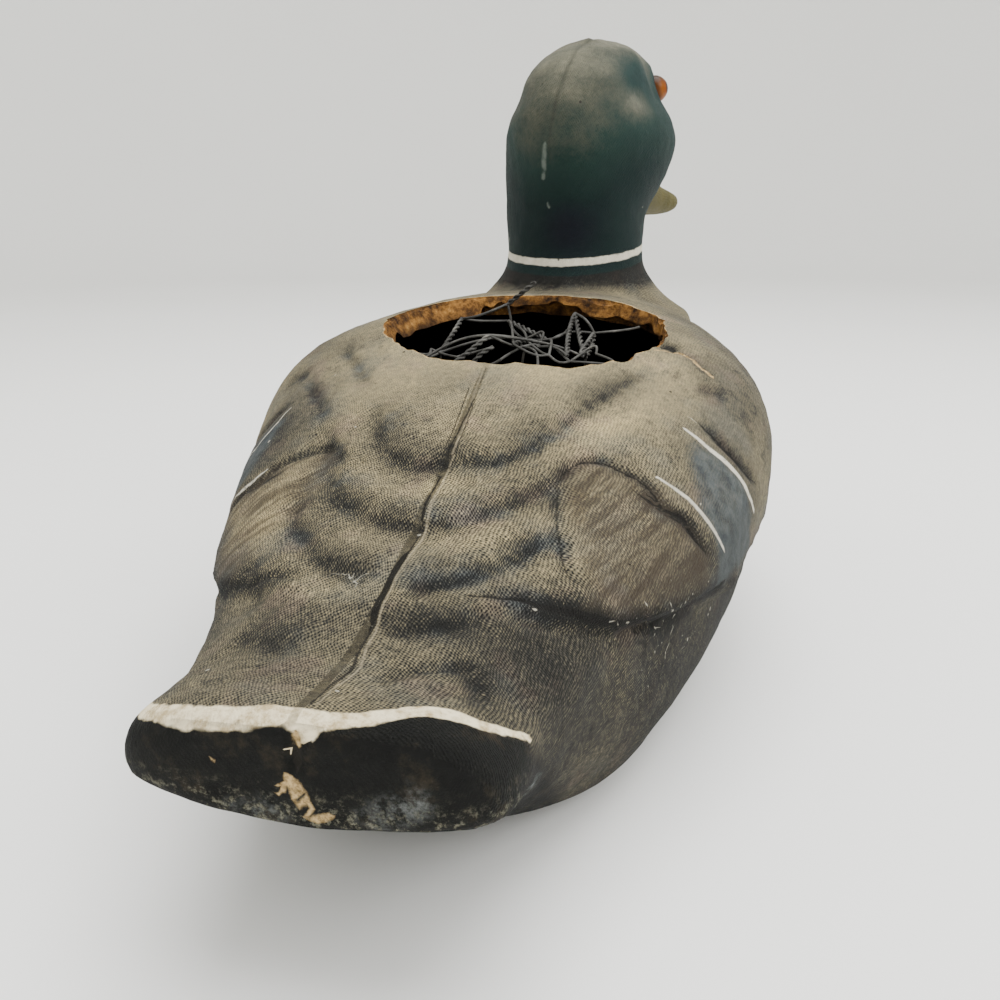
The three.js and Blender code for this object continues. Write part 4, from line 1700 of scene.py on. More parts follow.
@dataclass
class DecoyShell:
    """Body, neck, head and bill: one hollow moulding with an opening cut in its back."""

    wall: float = 5.5
    gap: float = 0.3
    voxel: float = 1.48
    hollow_voxel: float = 3.2
    body_rings: tuple[int, int] = (240, 200)
    head_rings: tuple[int, int] = (120, 120)
    bill_rings: tuple[int, int] = (60, 60)
    hollow_rings: tuple[int, int] = (120, 90)
    throat_rings: tuple[int, int] = (60, 60)
    soften_levels: int = 20
    soften_rounds: int = 17
    sharp_angle: float = math.radians(50)
    foot: tuple[float, float] = (2, 12)
    neck_foot: tuple[float, float] = (99, 106)
    eye_place: Point = (22.0, 16.4, 164.2)
    eye_lean: float = 3.6
    eye_radius: float = 4.6
    brow: tuple[Point, ...] = (
        (12, 18.5, 163), (15, 17.5, 168), (20, 16.3, 171), (27, 15.5, 170.5), (32, 15, 168),
    )
    brow_lean: float = 3.7
    temple: Point = (10.0, 20.5, 166.5)
    nostril: Point = (55.0, 6.5, 137.0)
    bill_lean: float = 0.4
    unevenness: tuple[Point, ...] = ((0.45, 13, 0.0), (0.16, 4, 3.0), (0.07, 1.9, 4.0))
    lumps: tuple[Point, ...] = ((0.9, 11, 7.0), (0.5, 5, 9.0))
    thicker: float = 0.3
    crown: tuple[tuple[Point, float, float], ...] = (
        ((-16.5, -72, 178.5), 7, -2.4), ((-14, -68, 177.5), 4, -1.0), ((-9.7, -67.7, 178.2), 3.5, 1.3),
        ((-1, -62, 175), 9, -0.9), ((-23.5, -62.5, 171.5), 5, 1.3),
    )
    body: BodyForm = field(default_factory=BodyForm)
    head: HeadForm = field(default_factory=HeadForm)
    opening: Opening = field(default_factory=Opening)
    edge: WingEdge = field(default_factory=WingEdge)
    overlaps: tuple[Overlap, ...] = (
        Overlap(ROW_ONE, 1.3, 0.55, 0.75, 5.5),
        Overlap(ROW_TWO, 1.4, 0.6, 0.8, 5.5),
        Overlap(ROW_THREE_LEFT, 1.3, 0.55, 0.85, 5.0),
        Overlap(ROW_THREE_RIGHT, 1.3, 0.55, 0.9, 5.0),
        Overlap(ROW_FOUR, 1.0, 0.45, 0.8, 4.2),
        Overlap(ROW_FOUR_LEFT, 0.8, 0.35, 0.5, 4.0),
        Overlap(ARC_LEFT, 0.8, 0.35, 0.5, 4.0),
    )
    creases: tuple[Crease, ...] = (
        Crease(TAIL_LOBE, 0.7, 1.6, 0.42, 2.4),
        Crease(PANEL_TOP, 0.9, 1.2, 0.75, 1.6, 0.08),
        Crease(PANEL_INNER, 0.3, 2.2, 0.7, 2.6),
        Crease(PANEL_SIDE, 0.5, 1.2, 0.5, 1.5),
        Crease(PANEL_TOP.mirrored(), 0.9, 1.2, 0.7, 1.6, 0.08),
        Crease(PANEL_INNER.mirrored(), 0.3, 2.2, 0.7, 2.6),
        Crease(BAR_CREASE, 1.2, 1.6, 0.55, 1.8),
        Crease(BAR_CREASE.mirrored(), 1.2, 1.6, 0.6, 1.8),
        Crease(SHOULDER_CREASE, 0.7, 2.0, 0.5, 2.2),
        Crease(SHOULDER_CREASE.mirrored(), 0.7, 2.0, 0.5, 2.2),
        Crease(LEFT_ARM, 0.9, 1.7, 0.48, 2.0, 0.3),
        Crease(LEFT_ARM_OUTER, 1.0, 1.7, 0.5, 2.0, 0.25),
        Crease(LEFT_ARM_REAR, 0.7, 2.4, 0.6, 3.5),
        Crease(WING_CREASE, 1.1, 1.3, 0.8, 2.6, 0.1),
        Crease(WING_CREASE.mirrored(), 0.9, 1.3, 0.6, 2.6, 0.1),
        Crease(TAIL_DENT, 1.0, 1.2, 0.3, 1.5, 0.1),
        Crease(GOUGE, 1.6, 1.7, 0.7, 1.8, 0.1),
        Crease(CRACK, 0.5, 0.8, 0.4, 1.0),
    )

    def beside(self, side: Side, place: Point, lean: float | None = None) -> Array:
        """A point of the head that is given for one side.

        Args:
            side: the side.
            place: how far it is forward, out from the middle line and up.
            lean: how far right the middle line lies there, or else as far as between the eyes.

        Returns:
            The point.
        """
        forward, out, up = place
        middle = self.eye_lean if lean is None else lean
        return self.head.place(forward, middle - side.value * out, up)

    def socket(self, side: Side) -> Array:
        """The middle of one eye."""
        return self.beside(side, self.eye_place)

    def outer(self) -> Piece:
        """The outside: body, head and bill grown into one skin.

        Returns:
            The shell's outside.
        """
        body, head = loft(self.body, *self.body_rings), loft(self.head, *self.head_rings)
        shell = joined([body, head, loft(BillForm(self.head), *self.bill_rings)])
        shell.name = "decoy_shell_painted"
        finish_modifier(shell, "REMESH", mode="VOXEL", voxel_size=self.voxel * MM, use_smooth_shade=True)
        self.soften(shell)
        return shell

    def soften(self, shell: Piece) -> None:
        """Rounds off where the neck meets the body and the bill the face.

        Args:
            shell: the outside, grown into one skin.
        """
        points = read_points(shell)
        u, v, z = self.head.own(points)
        flare = bell(np.hypot(u, v) - 39, 8) * smoothstep(z, 80, 86) * (1 - smoothstep(z, 98, 106))
        root = bell(u - 44, 5) * smoothstep(22 - np.abs(v), 0, 6) * smoothstep(z, 112, 118)
        weights = np.clip(0.12 + flare + root * (1 - smoothstep(z, 144, 150)), 0, 1)
        group = shell.vertex_groups.new(name="soften")
        levels = np.rint(weights * self.soften_levels).astype(int)
        for level in np.unique(levels):
            group.add(np.flatnonzero(levels == level).tolist(), level / self.soften_levels, "REPLACE")
        finish_modifier(shell, "SMOOTH", factor=0.5, iterations=self.soften_rounds, vertex_group="soften")
        shell.vertex_groups.clear()

    def carve(self, shell: Piece) -> None:
        """Presses feathers, folds, seam and the unevenness of old pulp into the skin.

        Args:
            shell: the smooth outside.
        """
        skin = Skin(read_points(shell), read_normals(shell))
        points = skin.points
        _, quick = self.body.girth(points)
        below = self.edge.measure(points[:, 1], quick)
        step = smoothstep(below, 0, self.edge.wall) * smoothstep(quick, *self.edge.starts)
        left_rear = smoothstep(points[:, 0], *self.edge.left) * smoothstep(points[:, 1], *self.edge.rear)
        depth = self.edge.depth * (1 - self.edge.shallower * left_rear)
        drop = depth * step * np.exp(-np.maximum(below, 0) / self.edge.fade) * (below > 0)
        relief = sum(feature.apply(skin)[0] for feature in (*self.overlaps, *self.creases))
        above_foot = smoothstep(points[:, 2], *self.foot)
        body_share = 1 - smoothstep(points[:, 2], *self.neck_foot)
        move = (relief - drop) * above_foot * body_share + layered(points, self.unevenness) * above_foot
        move += self.seam_relief(skin) + self.face_relief(skin)
        low, high = points.min(axis=0), points.max(axis=0)
        write_points(shell, np.clip(points + skin.normals * move[:, None], low, high))

    def seam_relief(self, skin: Skin) -> Array:
        """The joint of the two halves: a low ridge that turns into an open groove.

        Args:
            skin: the shell's skin.

        Returns:
            How far it moves each point outwards.
        """
        ridge, along, _ = skin.measure(SEAM_RIDGE)
        lift = 0.35 * np.exp(-((ridge / 1.3) ** 4)) * smoothstep(1 - along, 0, 0.3)
        groove, down, _ = skin.measure(SEAM_GROOVE)
        gaping = bell(down - 0.6, 0.22)
        dent = (0.15 + 0.9 * gaping) * bell(groove, 0.7 + 0.7 * gaping) * smoothstep(down, 0, 0.15)
        crest, up, _ = skin.measure(HEAD_SEAM)
        dip = 0.5 * bell(crest, 1.2) * smoothstep(1 - up, 0, 0.3)
        return lift - dent - dip

    def face_relief(self, skin: Skin) -> Array:
        """Brows and lids round the eyes, nostrils in the bill and the uneven crown.

        Args:
            skin: the shell's skin.

        Returns:
            How far they move each point outwards.
        """
        move = humps(skin.points, self.crown)
        for side in Side:
            gap = np.linalg.norm(skin.points - self.socket(side), axis=1)
            move -= 0.6 * bell(gap - 6.0, 1.6)
            temple = self.beside(side, self.temple)
            nostril = self.beside(side, self.nostril, self.bill_lean)
            move += humps(skin.points, ((temple, 8, -2.2), (nostril, 1.8, -0.9)))
            brow = Route(tuple(tuple(self.beside(side, place, self.brow_lean)) for place in self.brow))
            signed, _, past = skin.measure(brow)
            move += 0.7 * bell(signed, 2.4) * bell(past, 2.0)
        return move

    def hollow(self) -> Piece:
        """The space inside, uneven as the back of moulded pulp is.

        Returns:
            What is cut out of the shell.
        """
        inside_body = loft(self.body, *self.hollow_rings, self.wall)
        space = joined([inside_body, loft(self.head, *self.throat_rings, self.wall)])
        finish_modifier(space, "REMESH", mode="VOXEL", voxel_size=self.hollow_voxel * MM)
        points, normals = read_points(space), read_normals(space)
        lumps = layered(points, self.lumps) - self.thicker
        write_points(space, points + normals * lumps[:, None])
        return space

    def build(self) -> Piece:
        """Makes the shell's mesh with its three finishes.

        Returns:
            The shell.
        """
        shell = self.outer()
        self.carve(shell)
        finishes = [PaintedPulp().make(), DarkPulp().make(), RawPulp().make()]
        shell.data.materials.clear()
        shell.data.materials.append(finishes[0])
        space = self.hollow()
        space.data.materials.append(finishes[1])
        subtract(shell, space)
        cutters = [
            self.opening.cutter(self.body),
            self.opening.fray(self.body, drop=self.wall + 1.0, outset=-1.5, least=1.2, rough=8.0),
            self.opening.fray(self.body, drop=0.1, outset=-0.2, least=0.35, rough=2.2),
        ]
        for cutter in cutters:
            cutter.data.materials.append(finishes[2])
            subtract(shell, cutter)
        for side in Side:
            socket = ball(self.eye_radius + self.gap, self.socket(side))
            socket.data.materials.append(finishes[0])
            subtract(shell, socket)
        drop_crumbs(shell)
        self.mark(shell)
        make_active(shell)
        bpy.ops.object.shade_smooth_by_angle(angle=self.sharp_angle)
        return shell

    def mark(self, shell: Piece) -> None:
        """Lays out the paint, the wear, the painted shade and the knitted print as numbers on the mesh.

        Args:
            shell: the finished mesh.
        """
        skin = Skin(read_points(shell), read_normals(shell))
        for name, values in DecoyPaint(self).layers(skin).items():
            store(shell, name, values)


@dataclass
class DecoyPaint:
    """Where each colour, each kind of wear and the painted shade lie on the shell."""

    shell: DecoyShell
    bars: Strokes = (
        Stroke(Route((
            (-49.5, 50, 75.4), (-55, 51, 71), (-60, 50, 67), (-64, 48, 62), (-66, 45, 57), (-67.5, 42, 53),
        )), 0.4, 0.75, 0.4),
        Stroke(Route((
            (-44.7, 69, 68), (-49.2, 69.2, 65.1), (-53.7, 69.5, 61.2), (-57.7, 69, 55.9),
            (-60.1, 67.3, 51.2),
        )), 0.35, 0.6, 0.35),
        Stroke(Route((
            (51, 47, 76), (54, 52, 71), (57, 54, 68), (61, 53, 65), (64, 50, 60), (67, 44, 54),
        )), 0.15, 0.4, 0.25),
        Stroke(Route(((46, 72, 65.5), (48, 73, 64), (53, 73, 60), (56, 72.3, 56.3))), 0.15, 0.38, 0.15),
    )
    band: Strokes = (
        Stroke(Route((
            (-32.5, 143.5, 45), (-30, 147, 48), (-25.5, 151, 50.5), (-21.5, 152.5, 52),
            (-17, 154.5, 53), (-12, 158, 54), (-8, 160, 54.5), (-3, 161, 54), (2, 160.8, 54.3),
            (8, 161.5, 53.6), (14, 161.5, 52.8), (20, 160, 51.2), (25, 158, 49.8), (29, 154, 48.2),
            (32, 147, 46),
        )), 0.7, 1.7, 0.9),
        Stroke(Route(((-2.8, 161.6, 54.2), (-3, 162.3, 53.4), (-3.5, 163.1, 52.2))), 1.9, 1.6, 0.6),
    )
    # dark lines along the folds and the gouge, partly ink and partly painted shade
    ink: Strokes = (
        Stroke(WING_CREASE, 0.4, 1.0, 0.5),
        Stroke(PANEL_TOP, 0.1, 0.3, 0.35),
        Stroke(PANEL_SIDE, 0.1, 0.18, 0.1),
        Stroke(PANEL_INNER, 0.1, 0.5, 0.2),
        Stroke(PANEL_INNER.mirrored(), 0.1, 0.5, 0.2),
        Stroke(BAR_CREASE, 0.1, 0.35, 0.1),
        Stroke(BAR_CREASE.mirrored(), 0.1, 0.4, 0.1),
        Stroke(GOUGE, 0.4, 0.7, 0.2),
    )
    seam: Strokes = (
        Stroke(SEAM_GROOVE, 0.1, 0.3, 0.24),
        Stroke(Route(tuple(p for p in SEAM_GROOVE.points if 100 < p[1] < 140)), 0.15, 0.8, 0.1),
        Stroke(Route(tuple((x + 1.2, y, z) for x, y, z in SEAM_RIDGE.points)), 0.05, 0.16, 0.1),
        Stroke(Route(tuple((x - 1.2, y, z) for x, y, z in SEAM_RIDGE.points)), 0.05, 0.14, 0.1),
        Stroke(TAIL_DENT, 0.2, 0.7, 0.6),
    )
    crest: Strokes = (Stroke(HEAD_SEAM, 0.7, 0.6, 0.0),)
    seam_edge: Strokes = (
        Stroke(Route(tuple((x - 1.2, y, z) for x, y, z in SEAM_GROOVE.points)), 0.1, 0.35, 0.2),
        Stroke(Route(tuple((x - 0.7, y, z) for x, y, z in SEAM_RIDGE.points)), 0.1, 0.3, 0.1),
    )
    scratches: Strokes = (
        Stroke(Route(((1.4, -43.1, 145), (1.9, -44.2, 140), (2.4, -45.8, 134))), 0.5, 0.75, 0.6),
        Stroke(Route(((0.8, -46.6, 127), (0.7, -46.6, 125))), 0.4, 0.4, 0.3),
        Stroke(Route(((17, -61.4, 113.6), (17, -61.6, 115.5))), 0.9, 0.9, 0.5),
    )
    chips: Strokes = (
        Stroke(Route((
            (0.9, 163.5, 46.4), (0.1, 163.5, 45.1), (-0.9, 163.5, 43.7), (-2.3, 163.5, 42.3),
        )), 0.4, 1.15, 0.6),
        Stroke(Route(((-0.1, 163.5, 42), (-1, 163.5, 40.5), (-2.4, 163.5, 38.7))), 0.3, 0.32, 0.3),
        Stroke(Route(((-2.5, 163.5, 42), (-2.9, 163.5, 40.4), (-3.8, 163.5, 39.2))), 0.3, 0.3, 0.3),
        Stroke(Route(((-2.6, 163.5, 38.6), (-4.4, 163.5, 39.2), (-6.4, 163.5, 40))), 0.6, 0.8, 0.3),
        Stroke(Route(((2.8, 163.5, 42.9), (1.8, 163.5, 42.5), (0.7, 163.5, 43))), 0.2, 0.35, 0.3),
        Stroke(Route(((-1, 162.6, 53.2), (-0.9, 163.5, 52), (-1.2, 163.5, 50.7))), 0.35, 0.65, 0.4),
        Stroke(Route(((13, 163.5, 47.5), (12.5, 164, 47))), 0.25, 0.25, 0.2),
        Stroke(CRACK, 0.2, 0.35, 0.5),
    )
    scuffs: Strokes = (
        Stroke(Route(((-10, 163, 40), (-16, 163, 42.5), (-20, 162, 45))), 1.0, 2.6, 1.5),
        Stroke(Route(((11, 163, 39.5), (5, 163.5, 39), (0, 164, 40))), 0.8, 1.4, 0.8),
        Stroke(Route(((-30, 135, 28), (-32, 138, 34))), 1.0, 2.0, 1.0),
    )
    stains: tuple[tuple[float, float, float, float], ...] = (
        (-12, 52, 16, 0.06), (-26, 60, 13, 0.04), (-27, 128, 13, -0.17), (22, 100, 14, -0.06),
        (27, 124, 12, 0.08), (10, 58, 9, -0.06), (-10, 98, 9, 0.05), (-10, 143, 11, 0.1),
        (44, 84, 16, 0.2), (-18, 82, 10, -0.05), (51, 56, 14, -0.3), (42, 71, 9, -0.12),
        (-49, 91, 12, 0.05), (-45, 108, 9, 0.06), (-60, 45, 10, -0.04), (43, 104, 11, 0.14),
    )
    fleck_spots: tuple[Point, ...] = (
        (-40, 109, 51), (-42, 108, 50), (-44, 106, 49), (-48, 95, 39), (-50, 91, 36), (-53, 84, 33),
        (-46, 100, 37), (-47, 97, 32), (-57, 78, 49), (-51, 93, 48), (-56, 79, 41), (-59, 60, 33),
        (1, 129, 56), (7, 119, 59), (-52, 46, 77), (-54, 82, 37), (-55, 76, 34), (-49, 96, 43),
        (8, 118, 59), (6, 121, 58), (-2, 128, 56), (-50, 94.5, 49.5), (-50.8, 92.6, 46.6),
        (-51.5, 87.5, 41.8), (-52.9, 89, 47.9), (-54.4, 85.5, 48.4), (-49.4, 92.6, 40.2),
        (-50.3, 90.5, 36.7), (-52.6, 84.5, 33.3), (-48.6, 94.7, 43.8), (-55.2, 80.5, 41.8),
        (-45.8, 100.3, 51.5), (-56.4, 73, 34.4), (-59, 72.3, 45.2), (-51, 89, 39), (-53, 86, 44),
        (-50, 91, 43.5),
    )
    cheeks: tuple[tuple[Point, float, float], ...] = (
        ((-7.0, 21.0, 157.0), 6.5, 0.36), ((-14.0, 18.0, 155.5), 6, 0.18), ((-6.0, 17.0, 163.5), 9, -0.34),
    )
    teal_place: Point = (-6.0, 17.0, 163.5)
    navy_place: Point = (-6, -47, 119)
    head_fade: Table = (
        (104, 0.08), (116, 0.1), (126, 0.13), (134, 0.25),
        (144, 0.45), (156, 0.55), (168, 0.68), (180, 0.8),
    )
    tone_along: Table = (
        (-165, 0.5), (-60, 0.54), (0, 0.58), (35, 0.68), (60, 0.62),
        (85, 0.55), (110, 0.53), (140, 0.62), (160, 0.64),
    )
    flank_shade: Table = ((-80, 0.06), (0, 0.2), (30, 0.32), (80, 0.36), (140, 0.24))
    rump_start: Table = ((0, 100), (10, 108), (28, 128), (45, 146), (50, 155), (53, 161))
    patch_side: Table = ((45, 51), (52, 51.5), (60, 52), (70, 55))
    panel_front: Table = ((20, 86), (32, 72), (45, 73), (60, 76), (75, 78))
    panel_inner: Table = ((70, 27), (85, 28), (110, 38))
    knit_share: Table = ((-165, 0.4), (0, 0.35), (44, 0.18), (62, 0.65), (80, 1.0), (160, 0.8))
    knit_lean: float = math.radians(34)
    ring_middle: Point = (-4, -48, 107.8)
    ring_slopes: tuple[float, float] = (0.02, 0.15)
    ring_half: float = 1.15
    collar_drop: float = 4.0
    neck_end: float = -36.0
    rim_width: float = 0.35
    rim_low: float = 70.0
    rim_points: int = 400

    def ring_height(self, points: Array) -> Array:
        """Height above the middle of the white neck ring, which sits a little askew."""
        (x, y, z), (across, along) = self.ring_middle, self.ring_slopes
        return points[:, 2] - (z + (y - points[:, 1]) * along - (points[:, 0] - x) * across)

    def head_tone(self, skin: Skin) -> tuple[Array, Array]:
        """The state of the head's green, from 0 to 1.

        Args:
            skin: the shell's skin.

        Returns:
            How faded it is and how far it leans to teal at each point.
        """
        points = skin.points
        u, v, z = self.shell.head.own(points)
        tone = read_table(self.head_fade, z)
        tone -= 0.24 * smoothstep(np.maximum(u, np.abs(v - 3) - 8), 0, 18) * (1 - smoothstep(z, 162, 176))
        teal = 0.15 * smoothstep(u, 0, 20)
        for side in Side:
            gap = np.linalg.norm(points - self.shell.socket(side), axis=1)
            tone -= 0.3 * bell(gap, 12) + 0.7 * bell(gap - 5.2, 2.2)
            spots = [(self.shell.beside(side, place), width, fade) for place, width, fade in self.cheeks]
            tone += humps(points, spots)
            teal += humps(points, [(self.shell.beside(side, self.teal_place), 9, 0.25)])
        return np.maximum(tone, 0.1) - humps(points, [(self.navy_place, 9, 0.12)]), teal

    def bill_cover(self, points: Array) -> Array:
        """How far forward of the bill's root a point is, in millimetres.

        Args:
            points: the shell's points.

        Returns:
            The distances.
        """
        u, v, z = self.shell.head.own(points)
        root = 46 - 0.018 * v * v - 0.25 * np.maximum(z - 134, 0)
        return np.clip(np.minimum.reduce([u - root, 145 - z, z - 112]), -FAR, FAR)

    def tone(self, skin: Skin, below: Array) -> Array:
        """How light the body's paint is, from 0 to 1, with painted shade on the flank below the wing.

        Args:
            skin: the shell's skin.
            below: how far each point is below the wing's lower edge.

        Returns:
            The lightness at each point.
        """
        points = skin.points
        along = read_table(self.tone_along, points[:, 1])
        outward = smoothstep(np.abs(points[:, 0]), 26, 60) + 0.6 * smoothstep(-points[:, 0], 48, 66)
        stains = humps(points[:, :2], [((x, y), width, amount) for x, y, width, amount in self.stains])
        # painted shade on the flank below the wing's lower edge
        flank = smoothstep(below, -2, 8) * read_table(self.flank_shade, points[:, 1])
        belly = 0.1 * (1 - smoothstep(points[:, 2], 6, 30)) * smoothstep(-points[:, 1], -60, 20)
        neck = smoothstep(points[:, 2], 97, 103) * (1 - smoothstep(points[:, 1], -30, -22))
        return along + stains - 0.15 * outward - flank + belly - 0.52 * neck - 0.03

    def rump(self, skin: Skin) -> Array:
        """How far inside the black rump a point is, in millimetres.

        Args:
            skin: the shell's skin.

        Returns:
            The distances.
        """
        y, z = skin.points[:, 1], skin.points[:, 2]
        start = read_table(self.rump_start, z)
        signed, share, _ = skin.measure(self.band[0].route)
        beside = (np.abs(signed) < 10) & (share > 0.01) & (share < 0.99)
        return np.clip(np.where(beside, -signed * 1.6, (y - start) * 0.8), -FAR, FAR)

    def speculum(self, points: Array) -> Array:
        """How far inside the blue wing patch a point is, in millimetres.

        Args:
            points: the shell's points.

        Returns:
            The distances.
        """
        side = np.abs(points[:, 0])
        front = points[:, 1] - (53 - 0.35 * (75 - points[:, 2]))
        rear = (70 + 0.1 * (60 - points[:, 2])) - points[:, 1]
        inward = side - read_table(self.patch_side, points[:, 1])
        low = points[:, 2] - 44
        return np.clip(np.minimum.reduce([front, rear, inward, low]), -FAR, FAR)

    def panel(self, points: Array, true: Array, below: Array) -> Array:
        """How far inside the brushed part of the folded wing a point is, in millimetres.

        Args:
            points: the shell's points.
            true: their distances down the skin from the ridge.
            below: how far each is below the wing's lower edge.

        Returns:
            The distances.
        """
        front = points[:, 1] - read_table(self.panel_front, true)
        inward = true - read_table(self.panel_inner, points[:, 1])
        return np.clip(np.minimum.reduce([front, inward, -below - 2]), -FAR, FAR)

    def knit(self, skin: Skin, true: Array, below: Array) -> dict[str, Array]:
        """The directions and the strength of the knitted print.

        Args:
            skin: the shell's skin.
            true: each point's distance down the skin from the ridge.
            below: how far each is below the wing's lower edge.

        Returns:
            Its layers by name.
        """
        points = skin.points
        left = points[:, 0] > 0
        cosine, sine = math.cos(self.knit_lean), math.sin(self.knit_lean)
        signed = np.sign(points[:, 0]) * true
        across = np.where(left, signed, signed * cosine + points[:, 1] * sine)
        along = np.where(left, points[:, 1], points[:, 1] * cosine - signed * sine)
        u, v, z = self.shell.head.own(points)
        on_head = (z > 101) & (points[:, 1] < -20)
        across = np.where(on_head, np.arctan2(v, -u) * 25, across)
        along = np.where(on_head, z, along)
        on_rump = (skin.normals[:, 1] > 0.8) & (points[:, 1] > 120)
        across = np.where(on_rump, points[:, 0], across)
        along = np.where(on_rump, z, along)
        share = read_table(self.knit_share, points[:, 1])
        share = np.where(on_head, 0.45, share) * np.where(on_rump, 0.25, 1)
        share += 0.35 * smoothstep(below, -1, 7) * bell(points[:, 1] - 75, 30)
        return {"knit_across": across, "knit_along": along, "knit_share": share}

    def layers(self, skin: Skin) -> dict[str, Array]:
        """Every layer by name, one number for each vertex.

        Args:
            skin: the shell's skin.

        Returns:
            The layers.
        """
        points = skin.points
        true, quick = self.shell.body.girth(points)
        below = self.shell.edge.measure(points[:, 1], quick)
        # grime and painted shade from the folds and feather rows, less painted highlights and wear on the
        # crests
        soot = sum(feature.apply(skin)[1] for feature in (*self.shell.overlaps, *self.shell.creases))
        step = smoothstep(quick, *self.shell.edge.starts)
        rear = smoothstep(points[:, 1], 30, 80)
        # painted shade along the wing's lower edge and on the wing just above it
        shade = bell(below - 0.5, 1.8) * (0.3 + 0.3 * rear)
        shade += 0.5 * rear * bell(np.minimum(below, 0) + 4, 6) * (below < 0)
        ring = self.ring_height(points)
        near_head = points[:, 1] < self.neck_end
        routes = (Route(((x, y, z), (x, y - 0.4, z - 1.1))) for x, y, z in self.fleck_spots)
        narrow = {
            "tail_band": self.band, "bars": self.bars, "ink": self.ink, "seam": self.seam,
            "seam_edge": self.seam_edge, "crest": self.crest, "scratch": self.scratches,
            "chips": self.chips, "flecks": tuple(Stroke(route, 0.2, 0.17, 0.1) for route in routes),
        }
        # one layer holds the grime and the painted shade together
        layers = {"tone": self.tone(skin, below), "soot": np.clip(soot + step * shade, -0.4, 1.3)}
        layers.update(self.knit(skin, true, below))
        for name, strokes in narrow.items():
            layers.update(strips(name, strokes, skin))
        layers["head_tone"], layers["head_teal"] = self.head_tone(skin)
        layers.update({
            "rump": self.rump(skin),
            "speculum": self.speculum(points),
            "panel": self.panel(points, true, below),
            "scuffs": cover_all(self.scuffs, skin),
            "rim": self.rim(points),
            "collar": np.where(near_head, np.clip(ring + self.collar_drop, -FAR, FAR), -FAR),
            "ring": np.where(near_head, self.ring_half - np.abs(ring), -FAR),
            "bill": self.bill_cover(points),
            "under": self.shell.body.height(points[:, 0], points[:, 1]) - points[:, 2],
            "rump_foot": smoothstep(points[:, 1], 140, 155) * (1 - smoothstep(points[:, 2], 37, 46)),
        })
        return layers

    def rim(self, points: Array) -> Array:
        """How close to the opening's edge a point is, positive where the paint has broken away.

        Args:
            points: the shell's points.

        Returns:
            The distances.
        """
        outline = self.shell.opening.outline(self.rim_points)
        tree = KDTree(len(outline))
        for k, (x, y) in enumerate(outline):
            tree.insert((x, y, 0), k)
        tree.balance()
        gap = np.full(len(points), FAR)
        for k in np.flatnonzero(points[:, 2] > self.rim_low):
            gap[k] = tree.find((points[k, 0], points[k, 1], 0))[2]
        far_side = smoothstep(-points[:, 1], -10, 15)
        return np.clip(self.rim_width + far_side - gap, -FAR, FAR)


@dataclass
class GlassEye:
    """One glass eye in its socket."""

    side: Side
    shell: DecoyShell
    look: Point = (3.0, 10.0, 1.5)
    bulge: float = 0.03
    hidden: float = 0.04
    snug: float = 0.985

    def build(self) -> Piece:
        """A ball with a clear bulge over its pupil.

        Returns:
            The eye.
        """
        centre = self.shell.socket(self.side)
        radius = self.shell.eye_radius
        eye = ball(radius)
        eye.name = f"glass_eye_{self.side.name.lower()}"
        out = self.shell.beside(self.side, self.look, 0.0) - self.shell.head.place(0.0, 0.0, 0.0)
        out /= np.linalg.norm(out)
        points = read_points(eye)
        facing = points @ out / radius
        dome = 1 + self.bulge * smoothstep(facing, 0.7, 1.0) - self.hidden * smoothstep(-facing, 0.2, 1.0)
        write_points(eye, points * dome[:, None] * self.snug + centre)
        eye.data.materials.append(AmberGlass(self.side, centre, out).make())
        make_active(eye)
        bpy.ops.object.shade_smooth()
        return eye


class Wire(Enum):
    """How a run of the netting is made."""

    TWIST = "twist"
    STRAND = "strand"


